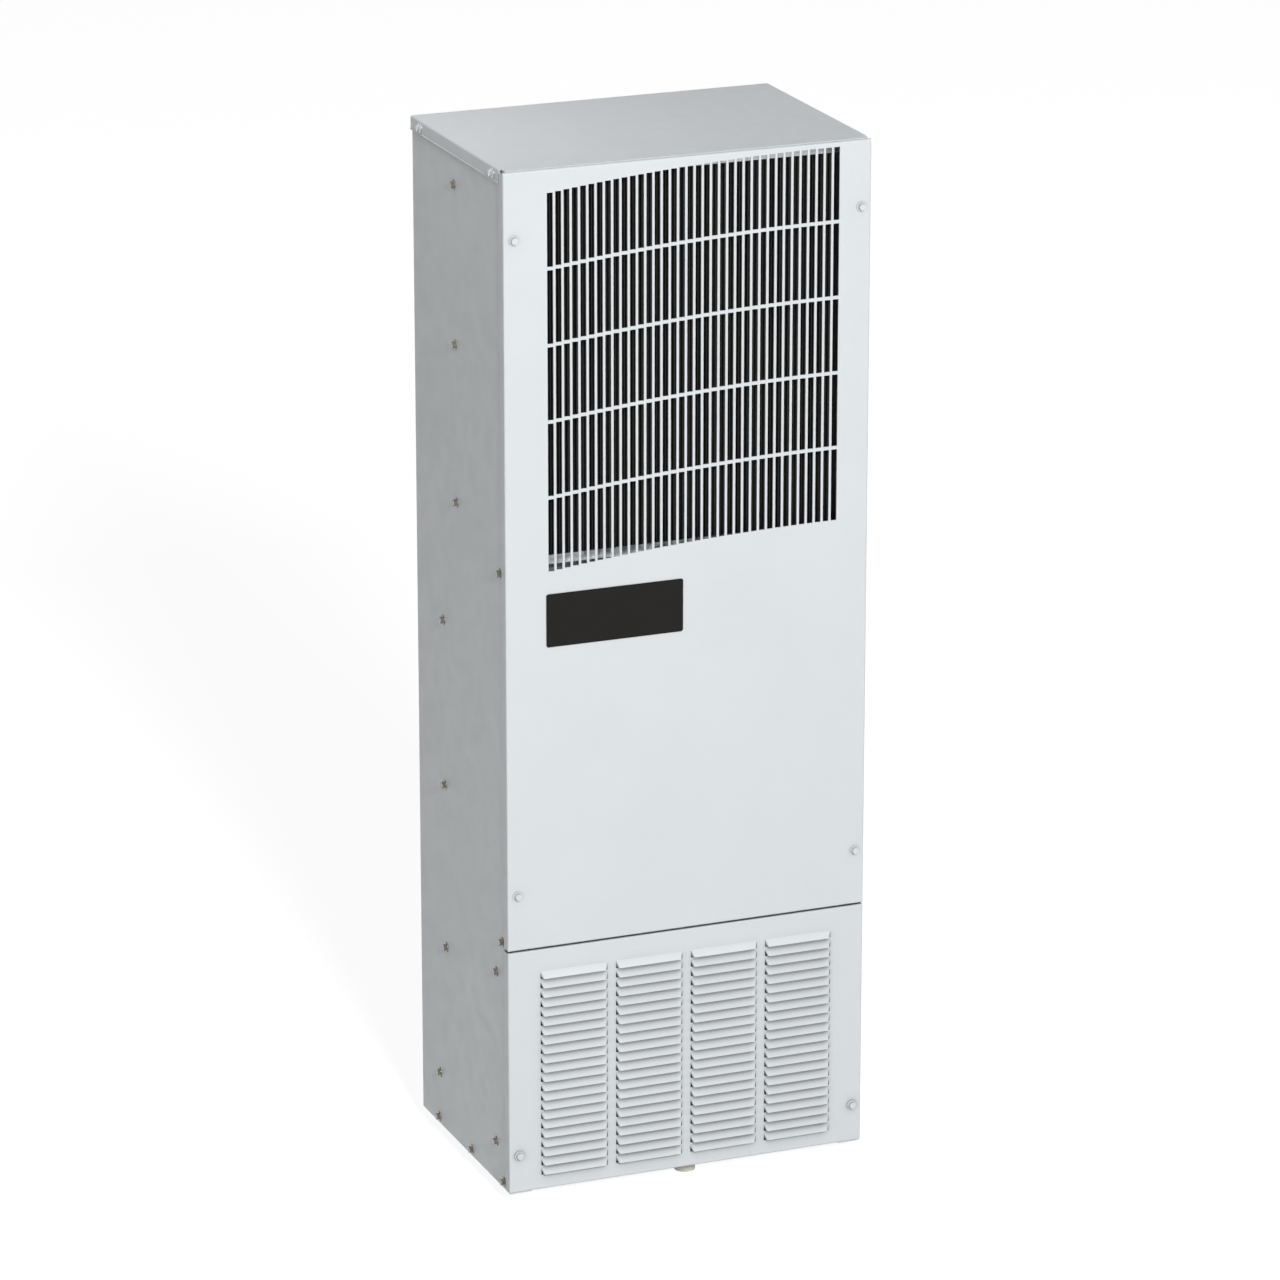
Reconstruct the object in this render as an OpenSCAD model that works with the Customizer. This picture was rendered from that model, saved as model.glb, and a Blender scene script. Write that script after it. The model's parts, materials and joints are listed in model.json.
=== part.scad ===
// Side-mounted cooling unit for an electrical enclosure.
// The front faces -Y and the unit hangs by its rear face, so the origin is the centre
// of the mounting holes on that face. Modules work from the base up; placed() shifts
// them so that the origin comes to the mounting holes. Lengths are millimetres.

/* [Cabinet] */
// Overall width across the folded edges
cabinet_w = 497; // [400:1:700]
// Depth from the mounting face to the front face
cabinet_d = 333; // [310:1:450]
// Height from the base to the top cover
cabinet_h = 1362; // [1200:1:1900]
// Thickness of the painted steel sheet
sheet_t = 1.6; // [1:0.1:2.5]
// Inside radius of a folded edge
fold_in_r = 0.8; // [0.4:0.1:1.6]
// Depth of the folded edge round each front panel
fold_d = 15; // [10:0.5:18]
// Height of the top cover's side flanges
cover_flange_h = 17; // [16:0.5:30]
// Width of the side panels' front flanges
front_flange_w = 30; // [24:1:33]
// Width of the side panels' rear flanges
rear_flange_w = 40; // [36:1:60]
// Height of the base pan's upturned edge
base_flange_h = 22; // [16:1:38]
// Gap between neighbouring covers
cover_gap = 1.5; // [0.5:0.1:3]

/* [Front panels] */
// Height of the seam between the two front panels
seam_z = 335.4; // [300:0.1:450]
// Clearance of the lower front panel above the base
foot_gap = 1.6; // [1:0.1:6]
// Distance of the front screws from the panel's side edges
screw_inset = 13.5; // [12:0.5:20]
// Distance of the upper screws below the top edge
upper_screw_drop = 88; // [50:1:200]
// Height of the middle screws above the seam
middle_screw_rise = 75.6; // [40:0.1:150]
// Height of the lowest screws above the base
lower_screw_rise = 53.2; // [30:0.1:120]

/* [Air inlet grille] */
// Width of one slot
slot_w = 7.9; // [4:0.1:9.5]
// Distance from one column of slots to the next
slot_pitch = 11.07; // [9.5:0.01:18]
// Height of one slot
slot_h = 94.5; // [50:0.5:110]
// Height of the cross bars between two rows of slots
slot_bar_h = 4.4; // [3:0.1:10]
// Rows of slots
slot_rows = 5; // [2:1:5]
// Distance of the first column from the left edge
grille_left = 57.9; // [36:0.1:100]
// Distance of the last column from the right edge
grille_right = 43.7; // [36:0.1:100]
// Distance of the highest slot from the top edge
grille_top = 7.8; // [5:0.1:30]
// Radius of the arc that the rows of slots follow
grille_arc_r = 3200; // [1500:10:9000]

/* [Name plate] */
// Width of the blank name plate
plate_w = 186.5; // [100:0.5:260]
// Height of the blank name plate
plate_h = 70.2; // [40:0.1:100]
// Thickness of the name plate
plate_t = 0.8; // [0.5:0.05:1.5]
// Corner radius of the name plate
plate_r = 3; // [1:0.5:8]
// Distance of the plate from the left edge
plate_left = 54.5; // [30:0.5:120]
// Distance of the plate below the grille
plate_drop = 30; // [15:1:60]

/* [Air outlet louvers] */
// Width of a louver where it leaves the panel
louver_w = 92; // [60:1:150]
// Gap between two columns of louvers
louver_gap = 12.6; // [6:0.1:30]
// Distance from one louver to the next one up
louver_pitch = 12.95; // [11.5:0.05:20]
// Height of one louver
louver_h = 9.4; // [6:0.1:11]
// How far the lip of a louver stands proud
louver_proud = 5; // [4:0.1:8]
// How far each end of the lip is drawn in
louver_inset = 3.6; // [2:0.1:8]
// Distance of the first column from the left edge
louver_left = 44.4; // [36:0.1:90]
// Height of the lowest lip above the base
louver_bottom = 22.7; // [15:0.1:60]
// Plain strip above the highest louver
louver_top = 28; // [12:1:80]

/* [Screws] */
// Radius of a screw's shank
screw_r = 2.4; // [1.9:0.1:3]
// Radius of a screw's washer face
washer_r = 6.5; // [5:0.1:8]
// Distance across the flats of a screw's hexagon
hex_af = 8; // [5.5:0.1:10]
// Height of a screw's hexagon
hex_h = 3.8; // [2.5:0.1:6]
// Thickness of a screw's washer face
washer_t = 1.2; // [0.8:0.1:2]
// Clearance round a shank
hole_clear = 0.25; // [0.1:0.05:0.6]

/* [Mounting] */
// Distance of the mounting holes from the side edges
mount_inset = 15; // [13:0.5:17.5]
// Distance of the end holes from the base and from the top
mount_end = 46; // [45:1:90]
// Radius of the threaded hole in an insert
insert_bore_r = 2.6; // [2:0.1:3.4]
// Radius of an insert's body
insert_r = 4.5; // [4:0.1:5.5]
// Radius of an insert's flange
insert_flange_r = 6.5; // [6:0.1:8]
// Length of an insert behind its flange
insert_l = 14; // [8:0.5:22]
// Thickness of the foam mounting gasket
gasket_t = 5; // [3:0.5:10]
// Width of the gasket strip
gasket_w = 20; // [18:0.5:26]

/* [Compartments] */
// Depth of the blower compartment behind the upper bulkhead
blower_zone_d = 144; // [110:1:175]
// Depth of the evaporator compartment behind the lower bulkhead
evaporator_zone_d = 90; // [78:1:100]
// Thickness of the foam on the bulkhead
insulation_t = 12; // [6:0.5:19]
// Height of the condensate pan's floor above the base
pan_z = 240; // [185:1:340]
// Height of the condensate pan's rim
pan_h = 22; // [15:1:40]
// Depth of the side flanges of inner plates
inner_flange_d = 18; // [14:1:30]

/* [Condenser coil] */
// Height of the finned block
condenser_h = 487; // [380:1:560]
// Depth of the finned block
condenser_d = 50; // [36:1:70]
// Distance from the front face to the fins
condenser_setback = 25; // [20:1:40]
// Gap from the coil's end to the cabinet wall
coil_side_gap = 31; // [29:1:60]
// Gap from the coil's frame to the top cover
coil_top_gap = 10.4; // [4:0.1:30]
// Height of the coil frame's channels
coil_channel_h = 9; // [5:0.5:14]
// Gap from the coil to its fan plate
plenum_d = 12; // [6:0.5:25]
// Distance between the coil's tubes
tube_pitch = 25.4; // [19:0.1:32]
// Outside radius of the coil's tubes
tube_r = 4.76; // [3.5:0.02:6.36]
// Distance between the coil's fins
fin_pitch = 4; // [3:0.1:8]
// Thickness of a fin
fin_t = 1.2; // [0.8:0.1:2]
// Depth of the open gaps between fins
fin_gap_d = 6; // [2:0.1:8]

/* [Fans] */
// Radius of the condenser impeller
condenser_fan_r = 140; // [110:1:175]
// Radius of the evaporator impeller
evaporator_fan_r = 125; // [100:1:165]
// Thickness of the impeller's sheet parts
fan_t = 2; // [1.2:0.1:3]
// Number of blades on each impeller
fan_blades = 7; // [5:1:11]
// Gap from a fan plate to its impeller
fan_inlet_gap = 10; // [5:0.5:16]
// Space behind the impeller for the motor's flange
motor_gap = 14; // [10:0.5:22]
// Radius of the motor's rotor
rotor_r = 45; // [36:1:55]
// Radius of the motor's fixed flange
stator_r = 50; // [40:1:60]
// Radius of the motor's spindle
spindle_r = 8; // [5:0.1:12]
// Running clearance round a spindle or shaft
running_clear = 0.05; // [0.02:0.01:0.1]
// Height of the evaporator motor's bracket
bracket_h = 21; // [10:1:35]

/* [Evaporator coil] */
// Height of the finned block
evaporator_h = 420; // [280:1:560]
// Free duct in front of the fins
duct_d = 24; // [12:1:32]
// Gap from the fins to the rear panel
evaporator_rear_gap = 13; // [6:0.5:20]
// Gap from the coil's end to the cabinet wall
evaporator_side_gap = 46; // [38:1:80]
// Radius of the fan inlet opening in the rear panel
inlet_hole_r = 112; // [90:1:130]
// Margin of the outlet opening inside the fins
outlet_margin = 20; // [10:1:50]

/* [Compressor] */
// Radius of the compressor's shell
compressor_r = 60; // [50:1:66]
// Height of the compressor's shell
compressor_h = 225; // [180:1:270]
// Rounding of the shell's ends
compressor_edge_r = 28; // [15:1:32]
// Distance of the compressor's axis from the left wall
compressor_x = 120; // [100:1:180]
// Height of the compressor deck above the base
deck_z = 84; // [76:1:130]
// Height of a rubber foot
grommet_h = 18; // [12:1:30]
// Radius of a rubber foot
grommet_r = 11; // [9:0.5:13]
// Radius from the compressor's axis to its feet
foot_ring_r = 74; // [68:1:84]
// Radius of the suction accumulator
accumulator_r = 24; // [18:1:32]
// Height of the suction accumulator
accumulator_h = 130; // [100:1:170]

/* [Pipes and drain] */
// Outside radius of the discharge and liquid lines
line_r = 4.76; // [3.18:0.02:6.36]
// Outside radius of the suction line
suction_r = 6.35; // [4.76:0.01:7.94]
// Outside radius of the capillary tube
capillary_r = 1.6; // [1:0.1:2.4]
// Radius of the pipes' bends
bend_r = 16; // [10:0.5:19]
// Radius of the filter drier
drier_r = 22; // [16:1:26]
// Length of the filter drier
drier_l = 110; // [80:1:150]
// Outside radius of the drain fitting below the base
drain_r = 14; // [12.5:0.1:18]
// Bore radius of the drain fitting
drain_bore_r = 10; // [6:0.1:11.5]
// How far the drain fitting stands below the base
drain_l = 18; // [15:0.5:45]
// Distance of the drain from the cabinet's centre line
drain_x = 13; // [-100:1:150]
// Distance of the drain from the front face
drain_setback = 40; // [37:1:110]
// Outside radius of the drain hose
hose_r = 8; // [6.5:0.1:9.5]

/* [Controls] */
// Width of the control box
box_w = 230; // [218:1:300]
// Depth of the control box
box_d = 75; // [62:1:88]
// Height of the control box
box_h = 190; // [150:1:240]
// Height of the control box above the seam
box_rise = 58; // [24:1:120]
// Gap from the front panel to the control box
box_setback = 30; // [20:1:40]
// Radius of the thermostat knob
knob_r = 16; // [10:0.5:24]
// Height of the thermostat knob
knob_h = 12; // [8:0.5:18]
// Radius of the cable entry's bore
cable_r = 9; // [6:0.1:14]
// Height of the cable entry above the base
cable_z = 140; // [60:1:170]
// Distance of the cable entry from the side edge
cable_inset = 98.5; // [64:0.5:188]

/* [Hidden] */
$fn = 64;
overrun = 1;

// Colours
paint = [0.84, 0.86, 0.87];
zinc = [0.66, 0.67, 0.67];
brown_zinc = [0.45, 0.4, 0.34];
copper = [0.72, 0.42, 0.26];
fin_dark = [0.16, 0.16, 0.16];
foam = [0.2, 0.2, 0.21];
black = [0.1, 0.1, 0.1];
pale = [0.86, 0.86, 0.82];

// Small sizes of single pieces
frame_t = 1.2;
tube_lead = 4;
tube_clear = 0.3;
slip_clear = 0.05;
pipe_clear = 2;
line_stub = 20;
relief = 2.5;
seam_relief = 1.75;
screw_grip = 2;
insert_flange_t = 1;
gasket_margin = 8;
shelf_flange_h = 15;
seal_h = 18;
rail_d = 40;
rail_h = 62;
rail_rise = 15;
rail_lip = 14;
rail_screw_inset = 9;
rail_low_screw_rise = 5;
deck_front_gap = 42;
deck_rear_gap = 60;
deck_flange_h = 40;
deck_screw_inset = 10;
deck_low_screw_drop = 28;
rear_lap = 18;
rear_rows = 6;
rivet_r = 4.5;
rivet_h = 1.6;
cover_screw_inset = 36;
cover_lip_h = 9;
cover_setback = 4;
hem_r = 1.3;
lance_gap = 0.3;
guard_wire_r = 1;
guard_bar_r = 1.25;
guard_bar_share = 0.55;
guard_pitch = 20;
guard_lap = 10;
outlet_slot_h = 8;
outlet_slot_pitch = 13;
outlet_bar_w = 10;
outlet_bays = 3;
nozzle_overlap = 4;
nozzle_clear = 5;
nozzle_flange_w = 15;
fan_inlet_share = 0.68;
fan_collar_share = 0.8;
fan_cone_share = 0.45;
blade_root_share = 0.57;
blade_tip_share = 0.985;
blade_centre_share = 0.643;
blade_arc_share = 0.571;
rotor_h_share = 0.55;
spindle_share = 0.75;
boss_share = 0.6;
hub_hole_share = 0.5;
stator_flange_t = 8;
boss_gap = 1;
rotor_edge_r = 5;
spout_l = 22;
hose_wall = 2;
spout_wall = 2;
fitting_flange_r = 18;
fitting_flange_t = 4;
fitting_neck_h = 7;
hose_slack = 4;
foot_t = 4;
foot_arm_w = 24;
foot_pad_r = 13;
bolt_r = 4;
bolt_head_r = 6.5;
bolt_head_h = 5;
weld_h = 4;
weld_proud = 1.5;
weld_share = 0.7;
discharge_offset = 20;
cap_r = 13;
cap_h = 20;
cap_offset = 15;
accumulator_gap = 8;
accumulator_edge_r = 10;
strap_h = 14;
strap_w = 18;
suction_rise = 96;
riser_drop = 60;
liquid_drop = 45;
drier_side = 60;
drier_drop = 85;
drier_cone_h = 14;
turn_share = 1.5;
capillary_drop = 35;
capillary_offset = 40;
control_gap = 14;
capacitor_r = 22;
capacitor_span = 30;
capacitor_h = 95;
terminal_post_r = 3;
terminal_post_h = 8;
contactor_w = 55;
contactor_d = 48;
contactor_h = 70;
block_w = 60;
block_d = 24;
block_h = 26;
block_ways = 5;
block_screw_r = 3.5;
block_screw_h = 2;
thermostat_w = 50;
thermostat_d = 26;
thermostat_h = 60;
knob_shaft_r = 3;
shaft_depth = 12;
knob_grip_r = 1.5;
knob_grips = 12;
knob_gap = 1;
grommet_wall = 3.5;
grommet_lip = 3;
grommet_lip_t = 2.5;
upper_screw_shares = [0.083, 0.489, 0.894];
lower_screw_shares = [0.0355, 0.41, 0.784];
base_screw_shares = [0.195, 0.568, 0.925];
base_screw_rise_share = 0.4;
mount_row_shares = [-0.5, -0.25, 0, 0.25, 0.5];

// Outside radius of a folded edge
fold_r = fold_in_r + sheet_t;
// Half widths: folded edges, outer face of a side panel, inner face of a side panel
half_w = cabinet_w / 2;
side_x = half_w - sheet_t;
wall_x = side_x - sheet_t;
// Faces from front to back: back of the front panel, back of the flange, folded edge
front_y = -cabinet_d;
panel_back_y = front_y + sheet_t;
flange_back_y = panel_back_y + sheet_t;
fold_y = front_y + fold_d;
rear_panel_y = -2 * sheet_t;
cover_front_y = fold_y + cover_gap;
// Underside of the top cover, top of the side panels, middle of the mounting holes
roof_z = cabinet_h - sheet_t;
side_top_z = roof_z - fold_in_r;
mount_z = cabinet_h / 2;
mount_x = half_w - mount_inset;
mount_span = cabinet_h - 2 * mount_end;
drill_r = screw_r + hole_clear;
// Where the folds at the seam end, beside the side panels' flanges
seam_x = side_x - front_flange_w - overrun;

// Condenser coil, its shelf and its fan plate
coil_x = wall_x - coil_side_gap;
coil_z1 = roof_z - coil_top_gap - coil_channel_h;
coil_z0 = coil_z1 - condenser_h;
shelf_z = coil_z0 - coil_channel_h;
coil_y0 = front_y + condenser_setback;
coil_y1 = coil_y0 + condenser_d;
shroud_y = coil_y1 + plenum_d;
shroud_back_y = shroud_y + sheet_t;
coil_count = 2 * floor(condenser_h / (2 * tube_pitch));
coil_first_z = coil_z0 + (condenser_h - (coil_count - 1) * tube_pitch) / 2;
coil_row_ys = [coil_y0 + condenser_d / 4, coil_y1 - condenser_d / 4];
coil_end_x = coil_x + frame_t + tube_lead;
coil_stub_x = coil_end_x + tube_pitch / 2;
coil_stub_z = shelf_z - line_stub;

// Bulkhead: rear faces of its two walls and of the foam on them
upper_wall_y = -blower_zone_d;
lower_wall_y = -evaporator_zone_d;
foam_upper_y = upper_wall_y + insulation_t;
foam_lower_y = lower_wall_y + insulation_t;

// Fans: both axes at the middle of the condenser coil
fan_z = (coil_z0 + coil_z1) / 2;
condenser_back_y = upper_wall_y - sheet_t - motor_gap;
condenser_fan_w = condenser_back_y - shroud_back_y - fan_inlet_gap;
evaporator_back_y = foam_upper_y + bracket_h + motor_gap;
evaporator_fan_w = rear_panel_y - fan_inlet_gap - evaporator_back_y;
nozzle_l = fan_inlet_gap + nozzle_overlap;
condenser_throat_r = condenser_fan_r * fan_inlet_share - nozzle_clear;
evaporator_throat_r = evaporator_fan_r * fan_inlet_share - nozzle_clear;
condenser_hole_r = condenser_throat_r + nozzle_clear;

// Evaporator coil, standing in the condensate pan
pan_floor_z = pan_z + sheet_t;
pan_rim_z = pan_z + pan_h;
evaporator_x = wall_x - evaporator_side_gap;
evaporator_y0 = foam_lower_y + duct_d;
evaporator_y1 = rear_panel_y - evaporator_rear_gap;
evaporator_z0 = pan_floor_z + coil_channel_h;
evaporator_z1 = evaporator_z0 + evaporator_h;
evaporator_row_y = (evaporator_y0 + evaporator_y1) / 2;
evaporator_count = 2 * floor(evaporator_h / (2 * tube_pitch));
evaporator_first_z = evaporator_z0 + (evaporator_h - (evaporator_count - 1) * tube_pitch) / 2;
evaporator_last_z = evaporator_first_z + (evaporator_count - 1) * tube_pitch;
evaporator_end_x = evaporator_x + frame_t + tube_lead;
evaporator_stub_x = evaporator_end_x + tube_pitch / 2;
evaporator_stub_y = lower_wall_y - line_stub;
outlet_x = evaporator_x - outlet_margin;
outlet_z0 = evaporator_z0 + outlet_margin;
outlet_z1 = evaporator_z1 - outlet_margin;

// Grille: number of columns, first edge, highest slot, lowest slot
slot_columns = floor((cabinet_w - grille_left - grille_right - slot_w) / slot_pitch) + 1;
slot_x0 = grille_left - half_w;
slot_row_pitch = slot_h + slot_bar_h;
grille_z1 = cabinet_h - grille_top;
grille_span = (slot_columns - 1) * slot_pitch;
grille_z0 = grille_z1 - slot_drop(0) - slot_rows * slot_row_pitch + slot_bar_h;

// Louvers: rows that fit below the panel's top edge, columns between its sides
lower_panel_z0 = foot_gap;
lower_panel_z1 = seam_z - cover_gap / 2;
upper_panel_z0 = seam_z + cover_gap / 2;
louver_room = lower_panel_z1 - louver_bottom - louver_top - louver_h;
louver_rows = floor(louver_room / louver_pitch) + 1;
louver_column_pitch = louver_w + louver_gap;
louver_columns = floor((cabinet_w - 2 * louver_left + louver_gap) / louver_column_pitch);
louver_shift = sheet_t * norm([louver_proud, louver_h]) / louver_h;

// Seam rail
rail_y0 = fold_y + cover_gap;
rail_y1 = rail_y0 + rail_d;
rail_z1 = seam_z + rail_rise;
rail_z0 = rail_z1 - rail_h;

// Compressor deck, compressor and what stands beside it
deck_y0 = front_y + deck_front_gap;
deck_y1 = -deck_rear_gap;
deck_under_z = deck_z - sheet_t;
compressor_cx = compressor_x - wall_x;
compressor_cy = (rail_y1 + lower_wall_y - sheet_t) / 2;
foot_z = deck_z + grommet_h;
shell_z0 = foot_z + foot_t;
shell_z1 = shell_z0 + compressor_h;
discharge_y = compressor_cy - discharge_offset;
discharge_z = shell_z1 + 2 * bend_r;
accumulator_x = compressor_cx + compressor_r + accumulator_gap + accumulator_r;
feed_z = shell_z0 + compressor_edge_r + bend_r;
accumulator_z0 = feed_z + turn_share * bend_r;
accumulator_z1 = accumulator_z0 + accumulator_h;
suction_z = accumulator_z1 + suction_rise;
drier_x = coil_stub_x - drier_side;
drier_z1 = coil_stub_z - drier_drop;
drier_z0 = drier_z1 - drier_l;
capillary_y = evaporator_stub_y - capillary_offset;
capillary_z = drier_z0 - capillary_drop;

// Cable entry and drain
cable_x = half_w - cable_inset;
drain_y = front_y + drain_setback;
spout_y = (lower_wall_y + rear_panel_y) / 2;
hose_bore_r = hose_r - hose_wall;
spout_r = hose_bore_r - slip_clear;
fitting_top_z = sheet_t + fitting_flange_t;
hose_z = fitting_top_z + fitting_neck_h + bend_r + hose_slack;
base_hole_r = drain_bore_r + spout_wall;

// Control box
box_x0 = -wall_x;
box_x1 = box_x0 + box_w;
box_y0 = panel_back_y + box_setback;
box_y1 = box_y0 + box_d;
box_z0 = seam_z + box_rise;
box_z1 = box_z0 + box_h;
box_inner_y = box_y1 - sheet_t;
thermostat_x = box_x1 - sheet_t - control_gap - thermostat_w / 2;
thermostat_z = (box_z0 + box_z1) / 2;
capacitor_x = box_x0 + sheet_t + control_gap + capacitor_r;
capacitor_end_x = capacitor_x + capacitor_span + capacitor_r;
middle_x = (capacitor_end_x + thermostat_x - thermostat_w / 2) / 2;

// Where the side screws go, as [y, z], each in the flange of the piece it holds
side_places = concat(
    [for (s = upper_screw_shares) [upper_wall_y - inner_flange_d / 2, shelf_z + s * (roof_z - shelf_z)]],
    [for (s = lower_screw_shares) [lower_wall_y - inner_flange_d / 2, pan_z + s * (shelf_z - pan_z)]],
    [[coil_y0, shelf_z - shelf_flange_h / 2]],
    [[rail_y0 + rail_screw_inset, rail_z1 - rail_screw_inset]],
    [[rail_y1 - rail_screw_inset, rail_z0 + rail_low_screw_rise]],
    [[deck_y0 + deck_screw_inset, deck_z - deck_low_screw_drop]],
    [[deck_y1 - deck_screw_inset, deck_z - deck_screw_inset]],
    [for (s = base_screw_shares) [-s * cabinet_d, base_screw_rise_share * base_flange_h]]
);
cover_screw_ys = [-cover_screw_inset, front_y + cover_screw_inset];
cover_screw_z = cabinet_h - cover_flange_h / 2;
upper_screw_zs = [cabinet_h - upper_screw_drop, seam_z + middle_screw_rise];
lower_screw_zs = [lower_screw_rise];
front_screw_zs = concat(upper_screw_zs, lower_screw_zs);
front_screw_x = half_w - screw_inset;
rear_screw_x = side_x - rear_flange_w + rear_lap / 2;
rear_screw_zs = [for (i = [0 : rear_rows - 1]) mount_end + (i + 0.5) * mount_span / rear_rows];
mount_zs = [for (s = mount_row_shares) mount_z + s * mount_span];
foot_angles = [0, 120, 240];

// How far a column of slots hangs below the last one: the rows follow one arc
function slot_drop(i) =
    grille_arc_r - sqrt(pow(grille_arc_r, 2) - pow(grille_span - i * slot_pitch, 2));

// Unit vector from one point to the next
function heading(from, to) = (to - from) / norm(to - from);

// Shift from the base's frame to the part's own frame
module placed() {
    translate([0, 0, -mount_z]) children();
}

// Box between two opposite corners
module block(from, to) {
    translate(from) cube(to - from);
}

// Rods along each axis
module rod_x(at, r, l) {
    translate(at) rotate([0, 90, 0]) cylinder(r = r, h = l);
}
module rod_y(at, r, l) {
    translate(at) rotate([-90, 0, 0]) cylinder(r = r, h = l);
}
module rod_z(at, r, l) {
    translate(at) cylinder(r = r, h = l);
}

// Flat outline in x and z, given a thickness along y from its front face
module upright(y, t) {
    translate([0, y + t, 0]) rotate([90, 0, 0]) linear_extrude(t) children();
}

// Outline in y and z, run along x
module across(x, l) {
    translate([x, 0, 0]) rotate([90, 0, 90]) linear_extrude(l) children();
}

// Rectangle between two corners, and the same with rounded corners
module area(from, to) {
    translate(from) square(to - from);
}
module round_area(from, to, r) {
    area(from + [r, 0], to - [r, 0]);
    area(from + [0, r], to - [0, r]);
    for (x = [from.x + r, to.x - r], y = [from.y + r, to.y - r]) {
        translate([x, y]) circle(r);
    }
}

// The same piece on the left and on the right
module both_sides() {
    children();
    mirror([1, 0, 0]) children();
}

// Hex washer head screw standing on z = 0, its shank pointing down
module screw(shank_l) {
    cylinder(r = washer_r, h = washer_t);
    cylinder(r = hex_af / (2 * cos(30)), h = washer_t + hex_h, $fn = 6);
    translate([0, 0, -shank_l]) cylinder(r = screw_r, h = shank_l + washer_t);
}
module screw_right(at, shank_l) {
    translate(at) rotate([0, 90, 0]) screw(shank_l);
}
module screw_front(at, shank_l) {
    translate(at) rotate([90, 0, 0]) screw(shank_l);
}

// Drills for the side screws, right through the cabinet
module side_drills() {
    for (p = side_places) {
        rod_x([-half_w, p.x, p.y], drill_r, cabinet_w);
    }
}

// Straight lengths and round bends of one tube through a list of corners,
// each leg along an axis
module pipe_run(corners, r, bend) {
    last = len(corners) - 1;
    for (i = [0 : last - 1]) {
        dir = heading(corners[i], corners[i + 1]);
        start = corners[i] + dir * (i > 0 ? bend : 0);
        end = corners[i + 1] - dir * (i + 1 < last ? bend : 0);
        side = [dir.y, dir.z, dir.x];
        up = cross(dir, side);
        multmatrix([
            [side.x, up.x, dir.x, start.x],
            [side.y, up.y, dir.y, start.y],
            [side.z, up.z, dir.z, start.z]
        ]) cylinder(r = r, h = norm(end - start));
    }
    for (i = [1 : 1 : last - 1]) {
        into = heading(corners[i - 1], corners[i]);
        out = heading(corners[i], corners[i + 1]);
        axis = cross(-out, into);
        mid = corners[i] + (out - into) * bend;
        multmatrix([
            [-out.x, into.x, axis.x, mid.x],
            [-out.y, into.y, axis.y, mid.y],
            [-out.z, into.z, axis.z, mid.z]
        ]) rotate_extrude(angle = 90) translate([bend, 0]) circle(r);
    }
}

// Side panel, right hand: a tall channel with a front and a rear flange
module side_panel() {
    difference() {
        linear_extrude(side_top_z) difference() {
            intersection() {
                round_area([0, panel_back_y], [side_x, 0], fold_r);
                union() {
                    area([side_x - front_flange_w, panel_back_y], [side_x, 0]);
                    area([side_x - rear_flange_w, -rear_flange_w], [side_x, 0]);
                }
            }
            round_area([0, flange_back_y], [wall_x, -sheet_t], fold_in_r);
        }
        for (z = front_screw_zs) {
            rod_y([front_screw_x, front_y, z], drill_r, 3 * sheet_t);
        }
        for (y = cover_screw_ys) {
            rod_x([side_x - front_flange_w, y, cover_screw_z], drill_r, front_flange_w + overrun);
        }
        for (p = side_places) {
            rod_x([side_x - front_flange_w, p.x, p.y], drill_r, front_flange_w + overrun);
        }
        for (z = mount_zs) {
            rod_y([mount_x, -2 * sheet_t, z], insert_r, 3 * sheet_t);
        }
        for (z = rear_screw_zs) {
            rod_y([rear_screw_x, -2 * sheet_t, z], drill_r, 3 * sheet_t);
        }
        block(
            [side_x - front_flange_w - overrun, front_y, roof_z - sheet_t - cover_gap],
            [half_w, cover_front_y, cabinet_h]
        );
        block(
            [side_x - front_flange_w - overrun, front_y, seam_z - relief],
            [half_w, cover_front_y, seam_z + relief]
        );
    }
}

module right_side_panel() {
    color(paint) placed() side_panel();
}

module left_side_panel() {
    color(paint) placed() mirror([1, 0, 0]) side_panel();
}

// Rear panel with the round air inlet, the air outlet and the cable entry
module rear_panel() {
    panel_x = side_x - rear_flange_w + rear_lap;
    color(paint) placed() upright(rear_panel_y, sheet_t) difference() {
        area([-panel_x, 0], [panel_x, roof_z]);
        translate([0, fan_z]) circle(inlet_hole_r);
        area([-outlet_x, outlet_z0], [outlet_x, outlet_z1]);
        translate([-cable_x, cable_z]) circle(cable_r + grommet_wall);
        for (x = [-rear_screw_x, rear_screw_x], z = rear_screw_zs) {
            translate([x, z]) circle(drill_r);
        }
    }
}

// Base pan: a tray that stands between the side panels
module base_pan() {
    pan_y0 = cover_front_y;
    color(paint) placed() difference() {
        block([-wall_x, pan_y0, 0], [wall_x, rear_panel_y, base_flange_h]);
        block(
            [sheet_t - wall_x, pan_y0 + sheet_t, sheet_t],
            [wall_x - sheet_t, rear_panel_y - sheet_t, base_flange_h + overrun]
        );
        rod_z([drain_x, drain_y, -overrun], base_hole_r, 2 * overrun + sheet_t);
        side_drills();
    }
}

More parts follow.
